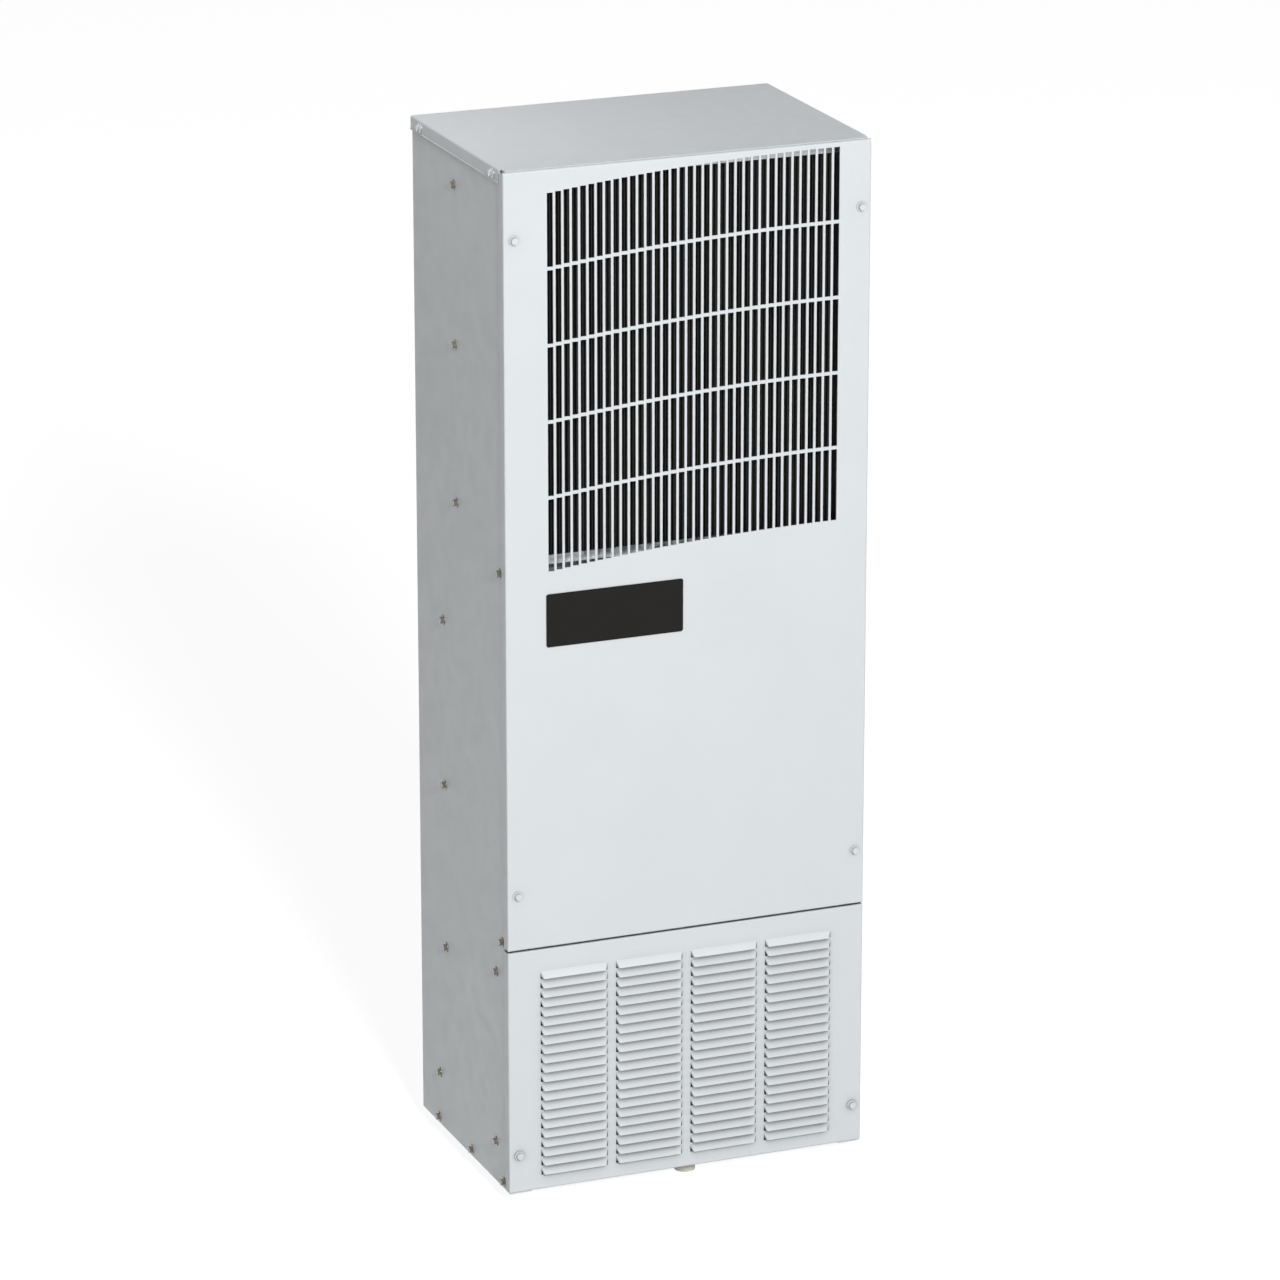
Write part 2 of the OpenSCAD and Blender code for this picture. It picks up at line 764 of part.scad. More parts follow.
// Top cover, lapped over the side panels and the front panel's fold, with rolled hems
module top_cover() {
    low_z = cabinet_h - cover_flange_h;
    color(paint) placed() difference() {
        union() {
            upright(cover_front_y, -cover_front_y) {
                difference() {
                    round_area([-half_w, low_z - fold_r], [half_w, cabinet_h], fold_r);
                    round_area([-side_x, low_z - 2 * fold_r], [side_x, roof_z], fold_in_r);
                    area([-half_w, low_z - 2 * fold_r], [half_w, low_z]);
                }
                both_sides() translate([side_x + slip_clear + hem_r, low_z]) circle(hem_r);
            }
            block(
                [relief - side_x, front_y + cover_setback, roof_z],
                [side_x - relief, cover_front_y + overrun, cabinet_h]
            );
            block(
                [cover_gap - wall_x, cover_front_y, roof_z - cover_lip_h],
                [wall_x - cover_gap, cover_front_y + sheet_t, roof_z + sheet_t / 2]
            );
        }
        for (y = cover_screw_ys) {
            rod_x([-half_w - overrun, y, cover_screw_z], drill_r, cabinet_w + 2 * overrun);
        }
    }
}

// Front panel: a face with its edges folded back and the edge fold rounded
module front_shell(z0, z1) {
    deep_y = fold_y + fold_d;
    difference() {
        intersection() {
            translate([0, 0, z0]) linear_extrude(z1 - z0)
                round_area([-half_w, front_y], [half_w, deep_y], fold_r);
            across(-half_w, cabinet_w) round_area([front_y, z0], [deep_y, z1], fold_r);
        }
        block([-side_x, panel_back_y, z0 + sheet_t], [side_x, deep_y + overrun, z1 - sheet_t]);
        block(
            [-half_w - overrun, fold_y, z0 - overrun],
            [half_w + overrun, deep_y + overrun, z1 + overrun]
        );
    }
}

// Cut at the ends of a fold at height z, to clear the side panels' flanges
module seam_notches(z) {
    both_sides() block(
        [seam_x, panel_back_y, z - overrun],
        [side_x, fold_y + overrun, z + sheet_t + overrun]
    );
}

// Gap between the side folds of the two panels, taller than the seam
module seam_reliefs() {
    both_sides() block(
        [side_x - overrun, panel_back_y, seam_z - seam_relief],
        [half_w + overrun, fold_y + overrun, seam_z + seam_relief]
    );
}

// Holes for the front screws at the given heights
module front_drills(zs) {
    for (x = [-front_screw_x, front_screw_x], z = zs) {
        rod_y([x, front_y - overrun, z], drill_r, sheet_t + 2 * overrun);
    }
}

// Upper front panel with the grille: each row of slots follows the arc
module upper_front_panel() {
    color(paint) placed() difference() {
        front_shell(upper_panel_z0, roof_z);
        seam_notches(upper_panel_z0);
        seam_reliefs();
        front_drills(upper_screw_zs);
        both_sides() block(
            [side_x - relief, panel_back_y + relief, roof_z - relief],
            [half_w + overrun, fold_y + overrun, cabinet_h + overrun]
        );
        upright(front_y - overrun, sheet_t + 2 * overrun)
            for (i = [0 : slot_columns - 1], k = [0 : slot_rows - 1]) {
                left = slot_x0 + i * slot_pitch;
                top = grille_z1 - slot_drop(i) - k * slot_row_pitch;
                area([left, top - slot_h], [left + slot_w, top]);
            }
    }
}

// Side view of every louver: a slope from the panel out to a lip
module louver_slopes() {
    mid_y = front_y + sheet_t / 2;
    for (k = [0 : louver_rows - 1]) {
        low = louver_bottom + k * louver_pitch;
        high = low + louver_h;
        polygon([[mid_y, low], [front_y - louver_proud, low], [front_y, high], [mid_y, high]]);
    }
}

// The open space under each louver
module louver_mouths() {
    lip_y = front_y - louver_proud + louver_shift;
    deep_y = panel_back_y + overrun;
    for (k = [0 : louver_rows - 1]) {
        low = louver_bottom + k * louver_pitch;
        start_y = lip_y - overrun * louver_proud / louver_h;
        end_z = low + (deep_y - lip_y) * louver_h / louver_proud;
        polygon([[start_y, low - overrun], [deep_y, low - overrun], [deep_y, end_z]]);
    }
}

// Plan view of every column of louvers, drawn in at both ends and reaching back to y
module louver_plans(inset, y) {
    for (i = [0 : louver_columns - 1]) {
        x0 = louver_left - half_w + i * louver_column_pitch + inset;
        x1 = x0 + louver_w - 2 * inset;
        lip_y = front_y - louver_proud;
        polygon([
            [x0, y], [x1, y], [x1, front_y],
            [x1 - louver_inset, lip_y], [x0 + louver_inset, lip_y], [x0, front_y]
        ]);
    }
}

// Lower front panel with lanced louvers, open below and at both ends
module lower_front_panel() {
    color(paint) placed() difference() {
        union() {
            front_shell(lower_panel_z0, lower_panel_z1);
            intersection() {
                across(-half_w, cabinet_w) louver_slopes();
                linear_extrude(lower_panel_z1) louver_plans(0, front_y + sheet_t / 2);
            }
        }
        intersection() {
            across(-half_w, cabinet_w) louver_mouths();
            linear_extrude(lower_panel_z1) louver_plans(-lance_gap, panel_back_y + overrun);
        }
        seam_notches(lower_panel_z0);
        seam_notches(lower_panel_z1 - sheet_t);
        seam_reliefs();
        front_drills(lower_screw_zs);
    }
}

// Blank name plate on the upper front panel
module name_plate() {
    left = plate_left - half_w;
    top = grille_z0 - plate_drop;
    color(black) placed() upright(front_y - plate_t, plate_t)
        round_area([left, top - plate_h], [left + plate_w, top], plate_r);
}

module front_panel_screws() {
    color(paint) placed() for (x = [-front_screw_x, front_screw_x], z = front_screw_zs) {
        screw_front([x, front_y, z], 2 * sheet_t + screw_grip);
    }
}

module cover_screws() {
    color(zinc) placed() both_sides() for (y = cover_screw_ys) {
        screw_right([half_w, y, cover_screw_z], 2 * sheet_t + screw_grip);
    }
}

module side_screws() {
    color(brown_zinc) placed() both_sides() for (p = side_places) {
        screw_right([side_x, p.x, p.y], 2 * sheet_t + screw_grip);
    }
}

// Low round-headed screws that hold the rear panel
module rear_screws() {
    color(zinc) placed() both_sides() for (z = rear_screw_zs) {
        rod_y([rear_screw_x, 0, z], rivet_r, rivet_h);
        rod_y([rear_screw_x, rear_panel_y - screw_grip, z], screw_r, screw_grip - rear_panel_y);
    }
}

// Threaded inserts in the rear flanges
module mounting_inserts() {
    color(zinc) placed() both_sides() for (z = mount_zs) {
        difference() {
            union() {
                rod_y([mount_x, -insert_l, z], insert_r, insert_l);
                rod_y([mount_x, 0, z], insert_flange_r, insert_flange_t);
            }
            rod_y([mount_x, -insert_l - overrun, z], insert_bore_r, insert_l + 3 * overrun);
        }
    }
}

// Foam gasket round both air openings, with a strip between them
module mounting_gasket() {
    inner_x = mount_x - gasket_w / 2;
    flange_x = side_x - rear_flange_w;
    strips = [
        gasket_margin,
        shelf_z - gasket_w / 2,
        roof_z - gasket_margin - gasket_w
    ];
    color(foam) placed() difference() {
        union() {
            both_sides() upright(0, gasket_t)
                area([inner_x, gasket_margin], [inner_x + gasket_w, roof_z - gasket_margin]);
            for (z = strips) {
                block([-inner_x, 0, z], [inner_x, gasket_t, z + gasket_w]);
                block([-flange_x, -sheet_t, z], [flange_x, gasket_t, z + gasket_w]);
            }
        }
        both_sides() {
            for (z = mount_zs) {
                rod_y([mount_x, -overrun, z], insert_flange_r + tube_clear, gasket_t + 2 * overrun);
            }
            for (z = rear_screw_zs) {
                rod_y([rear_screw_x, -overrun, z], rivet_r + tube_clear, gasket_t + 2 * overrun);
            }
        }
    }
}

// Channel behind the seam of the front panels
module seam_rail() {
    color(zinc) placed() difference() {
        union() {
            block([-wall_x, rail_y0, rail_z0], [wall_x, rail_y0 + sheet_t, rail_z1]);
            block([-wall_x, rail_y0, rail_z1 - sheet_t], [wall_x, rail_y0 + rail_lip, rail_z1]);
            block([-wall_x, rail_y0, rail_z0], [wall_x, rail_y0 + rail_lip, rail_z0 + sheet_t]);
            both_sides() block([wall_x - sheet_t, rail_y0, rail_z0], [wall_x, rail_y1, rail_z1]);
        }
        side_drills();
    }
}

// Holes for the evaporator's pipes
module pipe_drills(y, l) {
    for (z = [evaporator_first_z, evaporator_last_z]) {
        rod_y([evaporator_stub_x, y, z], tube_r + pipe_clear, l);
    }
}

// Bulkhead: two walls joined by a step, with side flanges
module bulkhead() {
    step_y = upper_wall_y - sheet_t;
    color(zinc) placed() difference() {
        union() {
            block([-wall_x, step_y, shelf_z - sheet_t], [wall_x, upper_wall_y, roof_z]);
            block([-wall_x, step_y, shelf_z - sheet_t], [wall_x, lower_wall_y, shelf_z]);
            block([-wall_x, lower_wall_y - sheet_t, pan_z], [wall_x, lower_wall_y, shelf_z]);
            both_sides() {
                block(
                    [wall_x - sheet_t, upper_wall_y - inner_flange_d, shelf_z],
                    [wall_x, upper_wall_y, roof_z]
                );
                block(
                    [wall_x - sheet_t, lower_wall_y - inner_flange_d, pan_z],
                    [wall_x, lower_wall_y, shelf_z]
                );
            }
        }
        side_drills();
        pipe_drills(lower_wall_y - 2 * sheet_t, 3 * sheet_t);
    }
}

// Foam on the cold side of the bulkhead
module bulkhead_insulation() {
    step_z = shelf_z + insulation_t;
    color(foam) placed() difference() {
        across(-wall_x, 2 * wall_x) polygon([
            [upper_wall_y, shelf_z], [upper_wall_y, roof_z], [foam_upper_y, roof_z],
            [foam_upper_y, step_z], [foam_lower_y, step_z], [foam_lower_y, pan_rim_z],
            [lower_wall_y, pan_rim_z], [lower_wall_y, shelf_z]
        ]);
        rod_y([0, upper_wall_y - overrun, fan_z], stator_r, insulation_t + 2 * overrun);
        pipe_drills(lower_wall_y - overrun, insulation_t + 2 * overrun);
    }
}

// Shelf under the condenser coil
module coil_shelf() {
    color(zinc) placed() difference() {
        union() {
            block([-wall_x, rail_y0, shelf_z - sheet_t], [wall_x, shroud_back_y, shelf_z]);
            block([-seam_x, rail_y0, shelf_z - seal_h], [seam_x, rail_y0 + sheet_t, shelf_z]);
            both_sides() block(
                [wall_x - sheet_t, rail_y0, shelf_z - shelf_flange_h],
                [wall_x, shroud_back_y, shelf_z]
            );
        }
        side_drills();
        for (y = coil_row_ys) {
            rod_z([coil_stub_x, y, shelf_z - 2 * sheet_t], tube_r + pipe_clear, 3 * sheet_t);
        }
    }
}

// Foam strip between the shelf and the front panel
module coil_seal_strip() {
    color(foam) placed()
        block([-seam_x, panel_back_y, shelf_z - seal_h], [seam_x, rail_y0, shelf_z]);
}

// Finned block: open gaps between the fins at the front and at the back
module fin_block(x, y0, y1, z0, h) {
    gaps = floor((2 * x - fin_t) / fin_pitch);
    gap_w = fin_pitch - fin_t;
    translate([0, 0, z0]) linear_extrude(h) difference() {
        area([-x, y0], [x, y1]);
        for (i = [0 : gaps - 1]) {
            left = fin_t - x + i * fin_pitch;
            area([left, y0 - overrun], [left + gap_w, y0 + fin_gap_d]);
            area([left, y1 - fin_gap_d], [left + gap_w, y1 + overrun]);
        }
    }
}

// Half turn that joins two tubes, bulging to the right
module return_bend(at) {
    translate(at) rotate([0, 90, 0]) rotate([90, 0, 0])
        rotate_extrude(angle = 180) translate([tube_pitch / 2, 0]) circle(tube_r);
}

// One row of tubes joined into a snake, open at the right at both ends
module serpentine(x, y, z0, count) {
    for (i = [0 : count - 1]) {
        rod_x([-x, y, z0 + i * tube_pitch], tube_r, 2 * x);
    }
    for (i = [0 : 2 : count - 2]) {
        mirror([1, 0, 0]) return_bend([x, y, z0 + (i + 0.5) * tube_pitch]);
    }
    for (i = [1 : 2 : count - 3]) {
        return_bend([x, y, z0 + (i + 0.5) * tube_pitch]);
    }
}

// Sheet frame round a finned block, open for its tubes
module coil_frame(x, y0, y1, z0, z1, ys, first_z, count) {
    difference() {
        union() {
            both_sides() block([x, y0, z0], [x + frame_t, y1, z1]);
            block([-x, y0, z0], [x, y1, z0 + frame_t]);
            block([-x, y0, z0], [x, y0 + frame_t, z0 + coil_channel_h]);
            block([-x, y0, z1 - frame_t], [x, y1, z1]);
            block([-x, y0, z1 - coil_channel_h], [x, y0 + frame_t, z1]);
        }
        for (y = ys, i = [0 : count - 1]) {
            both_sides() rod_x(
                [x - overrun, y, first_z + i * tube_pitch],
                tube_r + tube_clear,
                frame_t + 2 * overrun
            );
        }
    }
}

module condenser_fins() {
    color(fin_dark) placed() difference() {
        fin_block(coil_x, coil_y0, coil_y1, coil_z0, condenser_h);
        for (y = coil_row_ys, i = [0 : coil_count - 1]) {
            rod_x([-half_w, y, coil_first_z + i * tube_pitch], tube_r, cabinet_w);
        }
    }
}

module condenser_tubes() {
    top = coil_first_z + (coil_count - 1) * tube_pitch;
    color(copper) placed() {
        for (y = coil_row_ys) {
            serpentine(coil_end_x, y, coil_first_z, coil_count);
            pipe_run(
                [[coil_x, y, coil_first_z], [coil_stub_x, y, coil_first_z], [coil_stub_x, y, coil_stub_z]],
                tube_r, tube_pitch / 2
            );
        }
        translate([coil_end_x, (coil_y0 + coil_y1) / 2, top]) rotate([0, 0, -90])
            rotate_extrude(angle = 180) translate([condenser_d / 4, 0]) circle(tube_r);
    }
}

module condenser_frame() {
    color(zinc) placed() coil_frame(
        coil_x, coil_y0, shroud_y, shelf_z, coil_z1 + coil_channel_h,
        coil_row_ys, coil_first_z, coil_count
    );
}

// Plate that carries the condenser fan's inlet ring
module condenser_shroud() {
    color(zinc) placed() upright(shroud_y, sheet_t) difference() {
        area([-wall_x, shelf_z], [wall_x, roof_z]);
        translate([0, fan_z]) circle(condenser_hole_r);
    }
}

// Inlet ring: a flat flange at z = 0 and a short nozzle
module inlet_ring(throat, flange_r) {
    difference() {
        union() {
            cylinder(r = flange_r, h = frame_t);
            cylinder(r = throat, h = nozzle_l);
        }
        translate([0, 0, -overrun]) cylinder(r = throat - frame_t, h = nozzle_l + 2 * overrun);
    }
}

module condenser_inlet_ring() {
    color(zinc) placed() translate([0, shroud_back_y, fan_z]) rotate([-90, 0, 0])
        inlet_ring(condenser_throat_r, condenser_hole_r + nozzle_flange_w);
}

module evaporator_inlet_ring() {
    color(zinc) placed() translate([0, rear_panel_y, fan_z]) rotate([90, 0, 0])
        inlet_ring(evaporator_throat_r, inlet_hole_r + nozzle_flange_w);
}

// Impeller with backward-curved blades: back plate at z = 0, inlet at z = w
module impeller(r, w) {
    inlet_r = r * fan_inlet_share;
    collar_z = w * fan_collar_share;
    rim_z = w * fan_cone_share;
    root_r = r * blade_root_share;
    tip_r = r * blade_tip_share;
    arc_r = r * blade_arc_share;
    difference() {
        cylinder(r = r, h = fan_t);
        translate([0, 0, -overrun]) cylinder(r = stator_r * hub_hole_share, h = fan_t + 2 * overrun);
    }
    rotate_extrude() polygon([
        [inlet_r, w], [inlet_r + fan_t, w], [inlet_r + fan_t, collar_z],
        [r, rim_z], [r, rim_z - fan_t], [inlet_r, collar_z - fan_t]
    ]);
    intersection() {
        linear_extrude(w) for (i = [0 : fan_blades - 1]) {
            rotate(i * 360 / fan_blades) intersection() {
                difference() {
                    circle(tip_r);
                    circle(root_r);
                }
                difference() {
                    translate([r * blade_centre_share, 0]) circle(arc_r + fan_t / 2);
                    translate([r * blade_centre_share, 0]) circle(arc_r - fan_t / 2);
                }
                area([-r, 0], [r, r]);
            }
        }
        rotate_extrude() polygon([
            [0, fan_t / 2], [r, fan_t / 2], [r, rim_z - fan_t / 2],
            [inlet_r, collar_z - fan_t / 2], [0, collar_z - fan_t / 2]
        ]);
    }
}

// Turning half of the motor, fixed to the back plate inside the impeller
module motor_rotor(w) {
    rotor_h = w * rotor_h_share;
    translate([0, 0, fan_t]) difference() {
        rotate_extrude() intersection() {
            round_area([-rotor_r, -rotor_h], [rotor_r, rotor_h], rotor_edge_r);
            area([0, 0], [rotor_r, rotor_h]);
        }
        translate([0, 0, -overrun])
            cylinder(r = spindle_r + running_clear, h = rotor_h * spindle_share + 2 * overrun);
    }
}

// Fixed half of the motor: flange, boss and spindle
module motor_stator(w) {
    spindle_l = motor_gap + fan_t + w * rotor_h_share * spindle_share;
    translate([0, 0, -motor_gap]) {
        cylinder(r = stator_r, h = stator_flange_t);
        cylinder(r = stator_r * boss_share, h = motor_gap - boss_gap);
        cylinder(r = spindle_r, h = spindle_l);
    }
}

// Places of the two fans: back plate at z = 0, inlet towards +z
module condenser_fan_place() {
    placed() translate([0, condenser_back_y, fan_z]) rotate([90, 0, 0]) children();
}
module evaporator_fan_place() {
    placed() translate([0, evaporator_back_y, fan_z]) rotate([-90, 0, 0]) children();
}

module condenser_impeller() {
    color(black) condenser_fan_place() impeller(condenser_fan_r, condenser_fan_w);
}

module condenser_motor_rotor() {
    color(black) condenser_fan_place() motor_rotor(condenser_fan_w);
}

module condenser_motor_stator() {
    color(zinc) condenser_fan_place() motor_stator(condenser_fan_w);
}

module evaporator_impeller() {
    color(black) evaporator_fan_place() impeller(evaporator_fan_r, evaporator_fan_w);
}

module evaporator_motor_rotor() {
    color(black) evaporator_fan_place() motor_rotor(evaporator_fan_w);
}

module evaporator_motor_stator() {
    color(zinc) evaporator_fan_place() motor_stator(evaporator_fan_w);
}

// Round can through the foam that carries the evaporator motor
module evaporator_motor_bracket() {
    can_l = insulation_t + bracket_h;
    color(zinc) placed() difference() {
        rod_y([0, upper_wall_y, fan_z], stator_r, can_l);
        rod_y([0, upper_wall_y - overrun, fan_z], stator_r - sheet_t, can_l + overrun - sheet_t);
    }
}

module evaporator_fins() {
    color(zinc) placed() difference() {
        fin_block(evaporator_x, evaporator_y0, evaporator_y1, evaporator_z0, evaporator_h);
        for (i = [0 : evaporator_count - 1]) {
            rod_x([-half_w, evaporator_row_y, evaporator_first_z + i * tube_pitch], tube_r, cabinet_w);
        }
    }
}

module evaporator_tubes() {
    y = evaporator_row_y;
    color(copper) placed() {
        serpentine(evaporator_end_x, y, evaporator_first_z, evaporator_count);
        for (z = [evaporator_first_z, evaporator_last_z]) {
            pipe_run(
                [[evaporator_x, y, z], [evaporator_stub_x, y, z], [evaporator_stub_x, evaporator_stub_y, z]],
                tube_r, tube_pitch / 2
            );
        }
    }
}

// Frame of the evaporator, with a baffle that closes it to the rear panel
module evaporator_frame() {
    top = evaporator_z1 + coil_channel_h;
    color(zinc) placed() {
        coil_frame(
            evaporator_x, evaporator_y0, evaporator_y1, pan_floor_z, top,
            [evaporator_row_y], evaporator_first_z, evaporator_count
        );
        block([-evaporator_x, evaporator_y0, top - frame_t], [evaporator_x, rear_panel_y, top]);
    }
}

// Condensate pan with a spout for the hose
module evaporator_drain_pan() {
    color(zinc) placed() difference() {
        union() {
            block([-wall_x, lower_wall_y, pan_z], [wall_x, rear_panel_y, pan_rim_z]);
            rod_z([drain_x, spout_y, pan_z - spout_l], spout_r, spout_l + sheet_t);
        }
        block(
            [sheet_t - wall_x, lower_wall_y + sheet_t, pan_floor_z],
            [wall_x - sheet_t, rear_panel_y - sheet_t, pan_rim_z + overrun]
        );
        rod_z([drain_x, spout_y, pan_z - spout_l - overrun], spout_r - spout_wall, spout_l + pan_h);
        pipe_drills(lower_wall_y - overrun, sheet_t + 2 * overrun);
    }
}

// Hose from the pan's spout to the drain fitting
module drain_hose() {
    corners = [
        [drain_x, spout_y, pan_z], [drain_x, spout_y, hose_z],
        [drain_x, drain_y, hose_z], [drain_x, drain_y, fitting_top_z]
    ];
    color(pale) placed() difference() {
        pipe_run(corners, hose_r, bend_r);
        pipe_run(corners, hose_bore_r, bend_r);
    }
}

module drain_fitting() {
    color(pale) placed() difference() {
        union() {
            rod_z([drain_x, drain_y, -drain_l], drain_r, drain_l);
            rod_z([drain_x, drain_y, -drain_l], base_hole_r, drain_l + sheet_t);
            rod_z([drain_x, drain_y, sheet_t], fitting_flange_r, fitting_flange_t);
            rod_z([drain_x, drain_y, sheet_t], spout_r, fitting_flange_t + fitting_neck_h);
        }
        rod_z([drain_x, drain_y, -drain_l - overrun], drain_bore_r, drain_l + overrun);
        rod_z([drain_x, drain_y, -drain_l], spout_r - spout_wall, drain_l + fitting_flange_r);
    }
}

// Guard over the air inlet: level wires welded across upright bars, within a circle
module inlet_guard() {
    edge_r = inlet_hole_r + guard_lap;
    rows = floor((edge_r - guard_lap / 2) / guard_pitch);
    bar_x = guard_bar_share * inlet_hole_r;
    bar_y = guard_bar_r - sheet_t;
    wire_y = bar_y + guard_bar_r + guard_wire_r + slip_clear;
    color(zinc) placed() translate([0, 0, fan_z]) {
        for (x = [-bar_x, 0, bar_x]) {
            reach = sqrt(pow(edge_r, 2) - pow(x, 2));
            rod_z([x, bar_y, -reach], guard_bar_r, 2 * reach);
        }
        for (i = [-rows : rows]) {
            reach = sqrt(pow(edge_r, 2) - pow(i * guard_pitch, 2));
            rod_x([-reach, wire_y, i * guard_pitch], guard_wire_r, 2 * reach);
        }
    }
}

// Slotted plate over the air outlet
module outlet_guard() {
    edge_x = outlet_x + guard_lap;
    bay_w = (2 * outlet_x - (outlet_bays - 1) * outlet_bar_w) / outlet_bays;
    rows = floor((outlet_z1 - outlet_z0) / outlet_slot_pitch);
    color(paint) placed() upright(-sheet_t, frame_t) difference() {
        area([-edge_x, outlet_z0 - guard_lap], [edge_x, outlet_z1 + guard_lap]);
        for (b = [0 : outlet_bays - 1], k = [0 : rows - 1]) {
            left = b * (bay_w + outlet_bar_w) - outlet_x;
            low = outlet_z0 + k * outlet_slot_pitch;
            area([left, low], [left + bay_w, low + outlet_slot_h]);
        }
    }
}

// Places of the compressor's feet
module at_feet() {
    translate([compressor_cx, compressor_cy, 0]) for (turn = foot_angles) {
        rotate(turn) translate([foot_ring_r, 0, 0]) children();
    }
}

module compressor_deck() {
    color(zinc) placed() difference() {
        union() {
            block([-wall_x, deck_y0, deck_under_z], [wall_x, deck_y1, deck_z]);
            both_sides() block(
                [wall_x - sheet_t, deck_y0, deck_z - deck_flange_h],
                [wall_x, deck_y1, deck_z]
            );
        }
        side_drills();
        at_feet() rod_z([0, 0, deck_under_z - overrun], bolt_r + tube_clear, sheet_t + 2 * overrun);
    }
}

// Welded shell with rounded ends and a weld band
module compressor_shell() {
    weld_z = compressor_h * weld_share;
    color(black) placed() translate([compressor_cx, compressor_cy, shell_z0])
        rotate_extrude() {
            intersection() {
                round_area([-compressor_r, 0], [compressor_r, compressor_h], compressor_edge_r);
                area([0, 0], [compressor_r, compressor_h]);
            }
            area([0, weld_z], [compressor_r + weld_proud, weld_z + weld_h]);
        }
}

// Three-armed foot plate under the shell
module compressor_feet() {
    color(black) placed() difference() {
        union() {
            translate([compressor_cx, compressor_cy, foot_z]) {
                cylinder(r = compressor_r - compressor_edge_r, h = foot_t);
                for (turn = foot_angles) {
                    rotate(turn) block([0, -foot_arm_w / 2, 0], [foot_ring_r, foot_arm_w / 2, foot_t]);
                }
            }
            at_feet() rod_z([0, 0, foot_z], foot_pad_r, foot_t);
        }
        at_feet() rod_z([0, 0, foot_z - overrun], bolt_r + tube_clear, foot_t + 2 * overrun);
    }
}

module compressor_grommets() {
    color(black) placed() at_feet() difference() {
        rod_z([0, 0, deck_z], grommet_r, grommet_h);
        rod_z([0, 0, deck_z - overrun], bolt_r + tube_clear, grommet_h + 2 * overrun);
    }
}

// Bolts through the feet, with a head above and a nut below the deck
module compressor_bolts() {
    low = deck_under_z - bolt_head_h;
    color(zinc) placed() at_feet() {
        rod_z([0, 0, low], bolt_r, shell_z0 - low);
        translate([0, 0, low]) cylinder(r = bolt_head_r, h = bolt_head_h, $fn = 6);
        translate([0, 0, shell_z0]) cylinder(r = bolt_head_r, h = bolt_head_h, $fn = 6);
    }
}

module compressor_terminal_cover() {
    color(black) placed() rod_z([compressor_cx, compressor_cy + cap_offset, shell_z1], cap_r, cap_h);
}

// Accumulator with its saddle and its pipe into the shell
module accumulator() {
    mid_z = (accumulator_z0 + accumulator_z1) / 2;
    edge_x = compressor_cx + compressor_r;
    color(black) placed() difference() {
        union() {
            translate([accumulator_x, compressor_cy, accumulator_z0]) rotate_extrude() intersection() {
                round_area([-accumulator_r, 0], [accumulator_r, accumulator_h], accumulator_edge_r);
                area([0, 0], [accumulator_r, accumulator_h]);
            }
            block(
                [edge_x - overrun, compressor_cy - strap_w / 2, mid_z - strap_h / 2],
                [accumulator_x, compressor_cy + strap_w / 2, mid_z + strap_h / 2]
            );
            pipe_run(
                [
                    [accumulator_x, compressor_cy, accumulator_z0 + overrun],
                    [accumulator_x, compressor_cy, feed_z],
                    [edge_x - overrun, compressor_cy, feed_z]
                ],
                suction_r, bend_r
            );
        }
        rod_z([compressor_cx, compressor_cy, shell_z0], compressor_r, compressor_h);
    }
}

// Filter drier: a can with coned ends
module filter_drier() {
    neck_r = line_r + pipe_clear;
    color(copper) placed() translate([drier_x, coil_row_ys[0], drier_z0]) rotate_extrude() polygon([
        [0, 0], [neck_r, 0], [drier_r, drier_cone_h],
        [drier_r, drier_l - drier_cone_h], [neck_r, drier_l], [0, drier_l]
    ]);
}

// From the compressor's top to the rear row of the condenser
module discharge_line() {
    row_y = coil_row_ys[1];
    riser_z = coil_stub_z - riser_drop;
    color(copper) placed() pipe_run(
        [
            [compressor_cx, discharge_y, shell_z1], [compressor_cx, discharge_y, discharge_z],
            [coil_stub_x, discharge_y, discharge_z], [coil_stub_x, discharge_y, riser_z],
            [coil_stub_x, row_y, riser_z], [coil_stub_x, row_y, coil_stub_z]
        ],
        line_r, bend_r
    );
}

// From the front row of the condenser to the drier
module liquid_line() {
    row_y = coil_row_ys[0];
    turn_z = coil_stub_z - liquid_drop;
    color(copper) placed() pipe_run(
        [
            [coil_stub_x, row_y, coil_stub_z], [coil_stub_x, row_y, turn_z],
            [drier_x, row_y, turn_z], [drier_x, row_y, drier_z1]
        ],
        line_r, bend_r
    );
}

// From the drier to the foot of the evaporator
module capillary_tube() {
    row_y = coil_row_ys[0];
    color(copper) placed() pipe_run(
        [
            [drier_x, row_y, drier_z0], [drier_x, row_y, capillary_z],
            [drier_x, capillary_y, capillary_z], [drier_x, capillary_y, evaporator_first_z],
            [evaporator_stub_x, capillary_y, evaporator_first_z],
            [evaporator_stub_x, evaporator_stub_y, evaporator_first_z]
        ],
        capillary_r, bend_r
    );
}

// From the top of the evaporator to the accumulator
module suction_line() {
    color(copper) placed() pipe_run(
        [
            [accumulator_x, compressor_cy, accumulator_z1], [accumulator_x, compressor_cy, suction_z],
            [evaporator_stub_x, compressor_cy, suction_z],
            [evaporator_stub_x, compressor_cy, evaporator_last_z],
            [evaporator_stub_x, evaporator_stub_y, evaporator_last_z]
        ],
        suction_r, bend_r
    );
}

// Control box, open to the front
module control_box() {
    color(zinc) placed() difference() {
        block([box_x0, box_y0, box_z0], [box_x1, box_y1, box_z1]);
        block(
            [box_x0 + sheet_t, box_y0 - overrun, box_z0 + sheet_t],
            [box_x1 - sheet_t, box_inner_y, box_z1 - sheet_t]
        );
    }
}

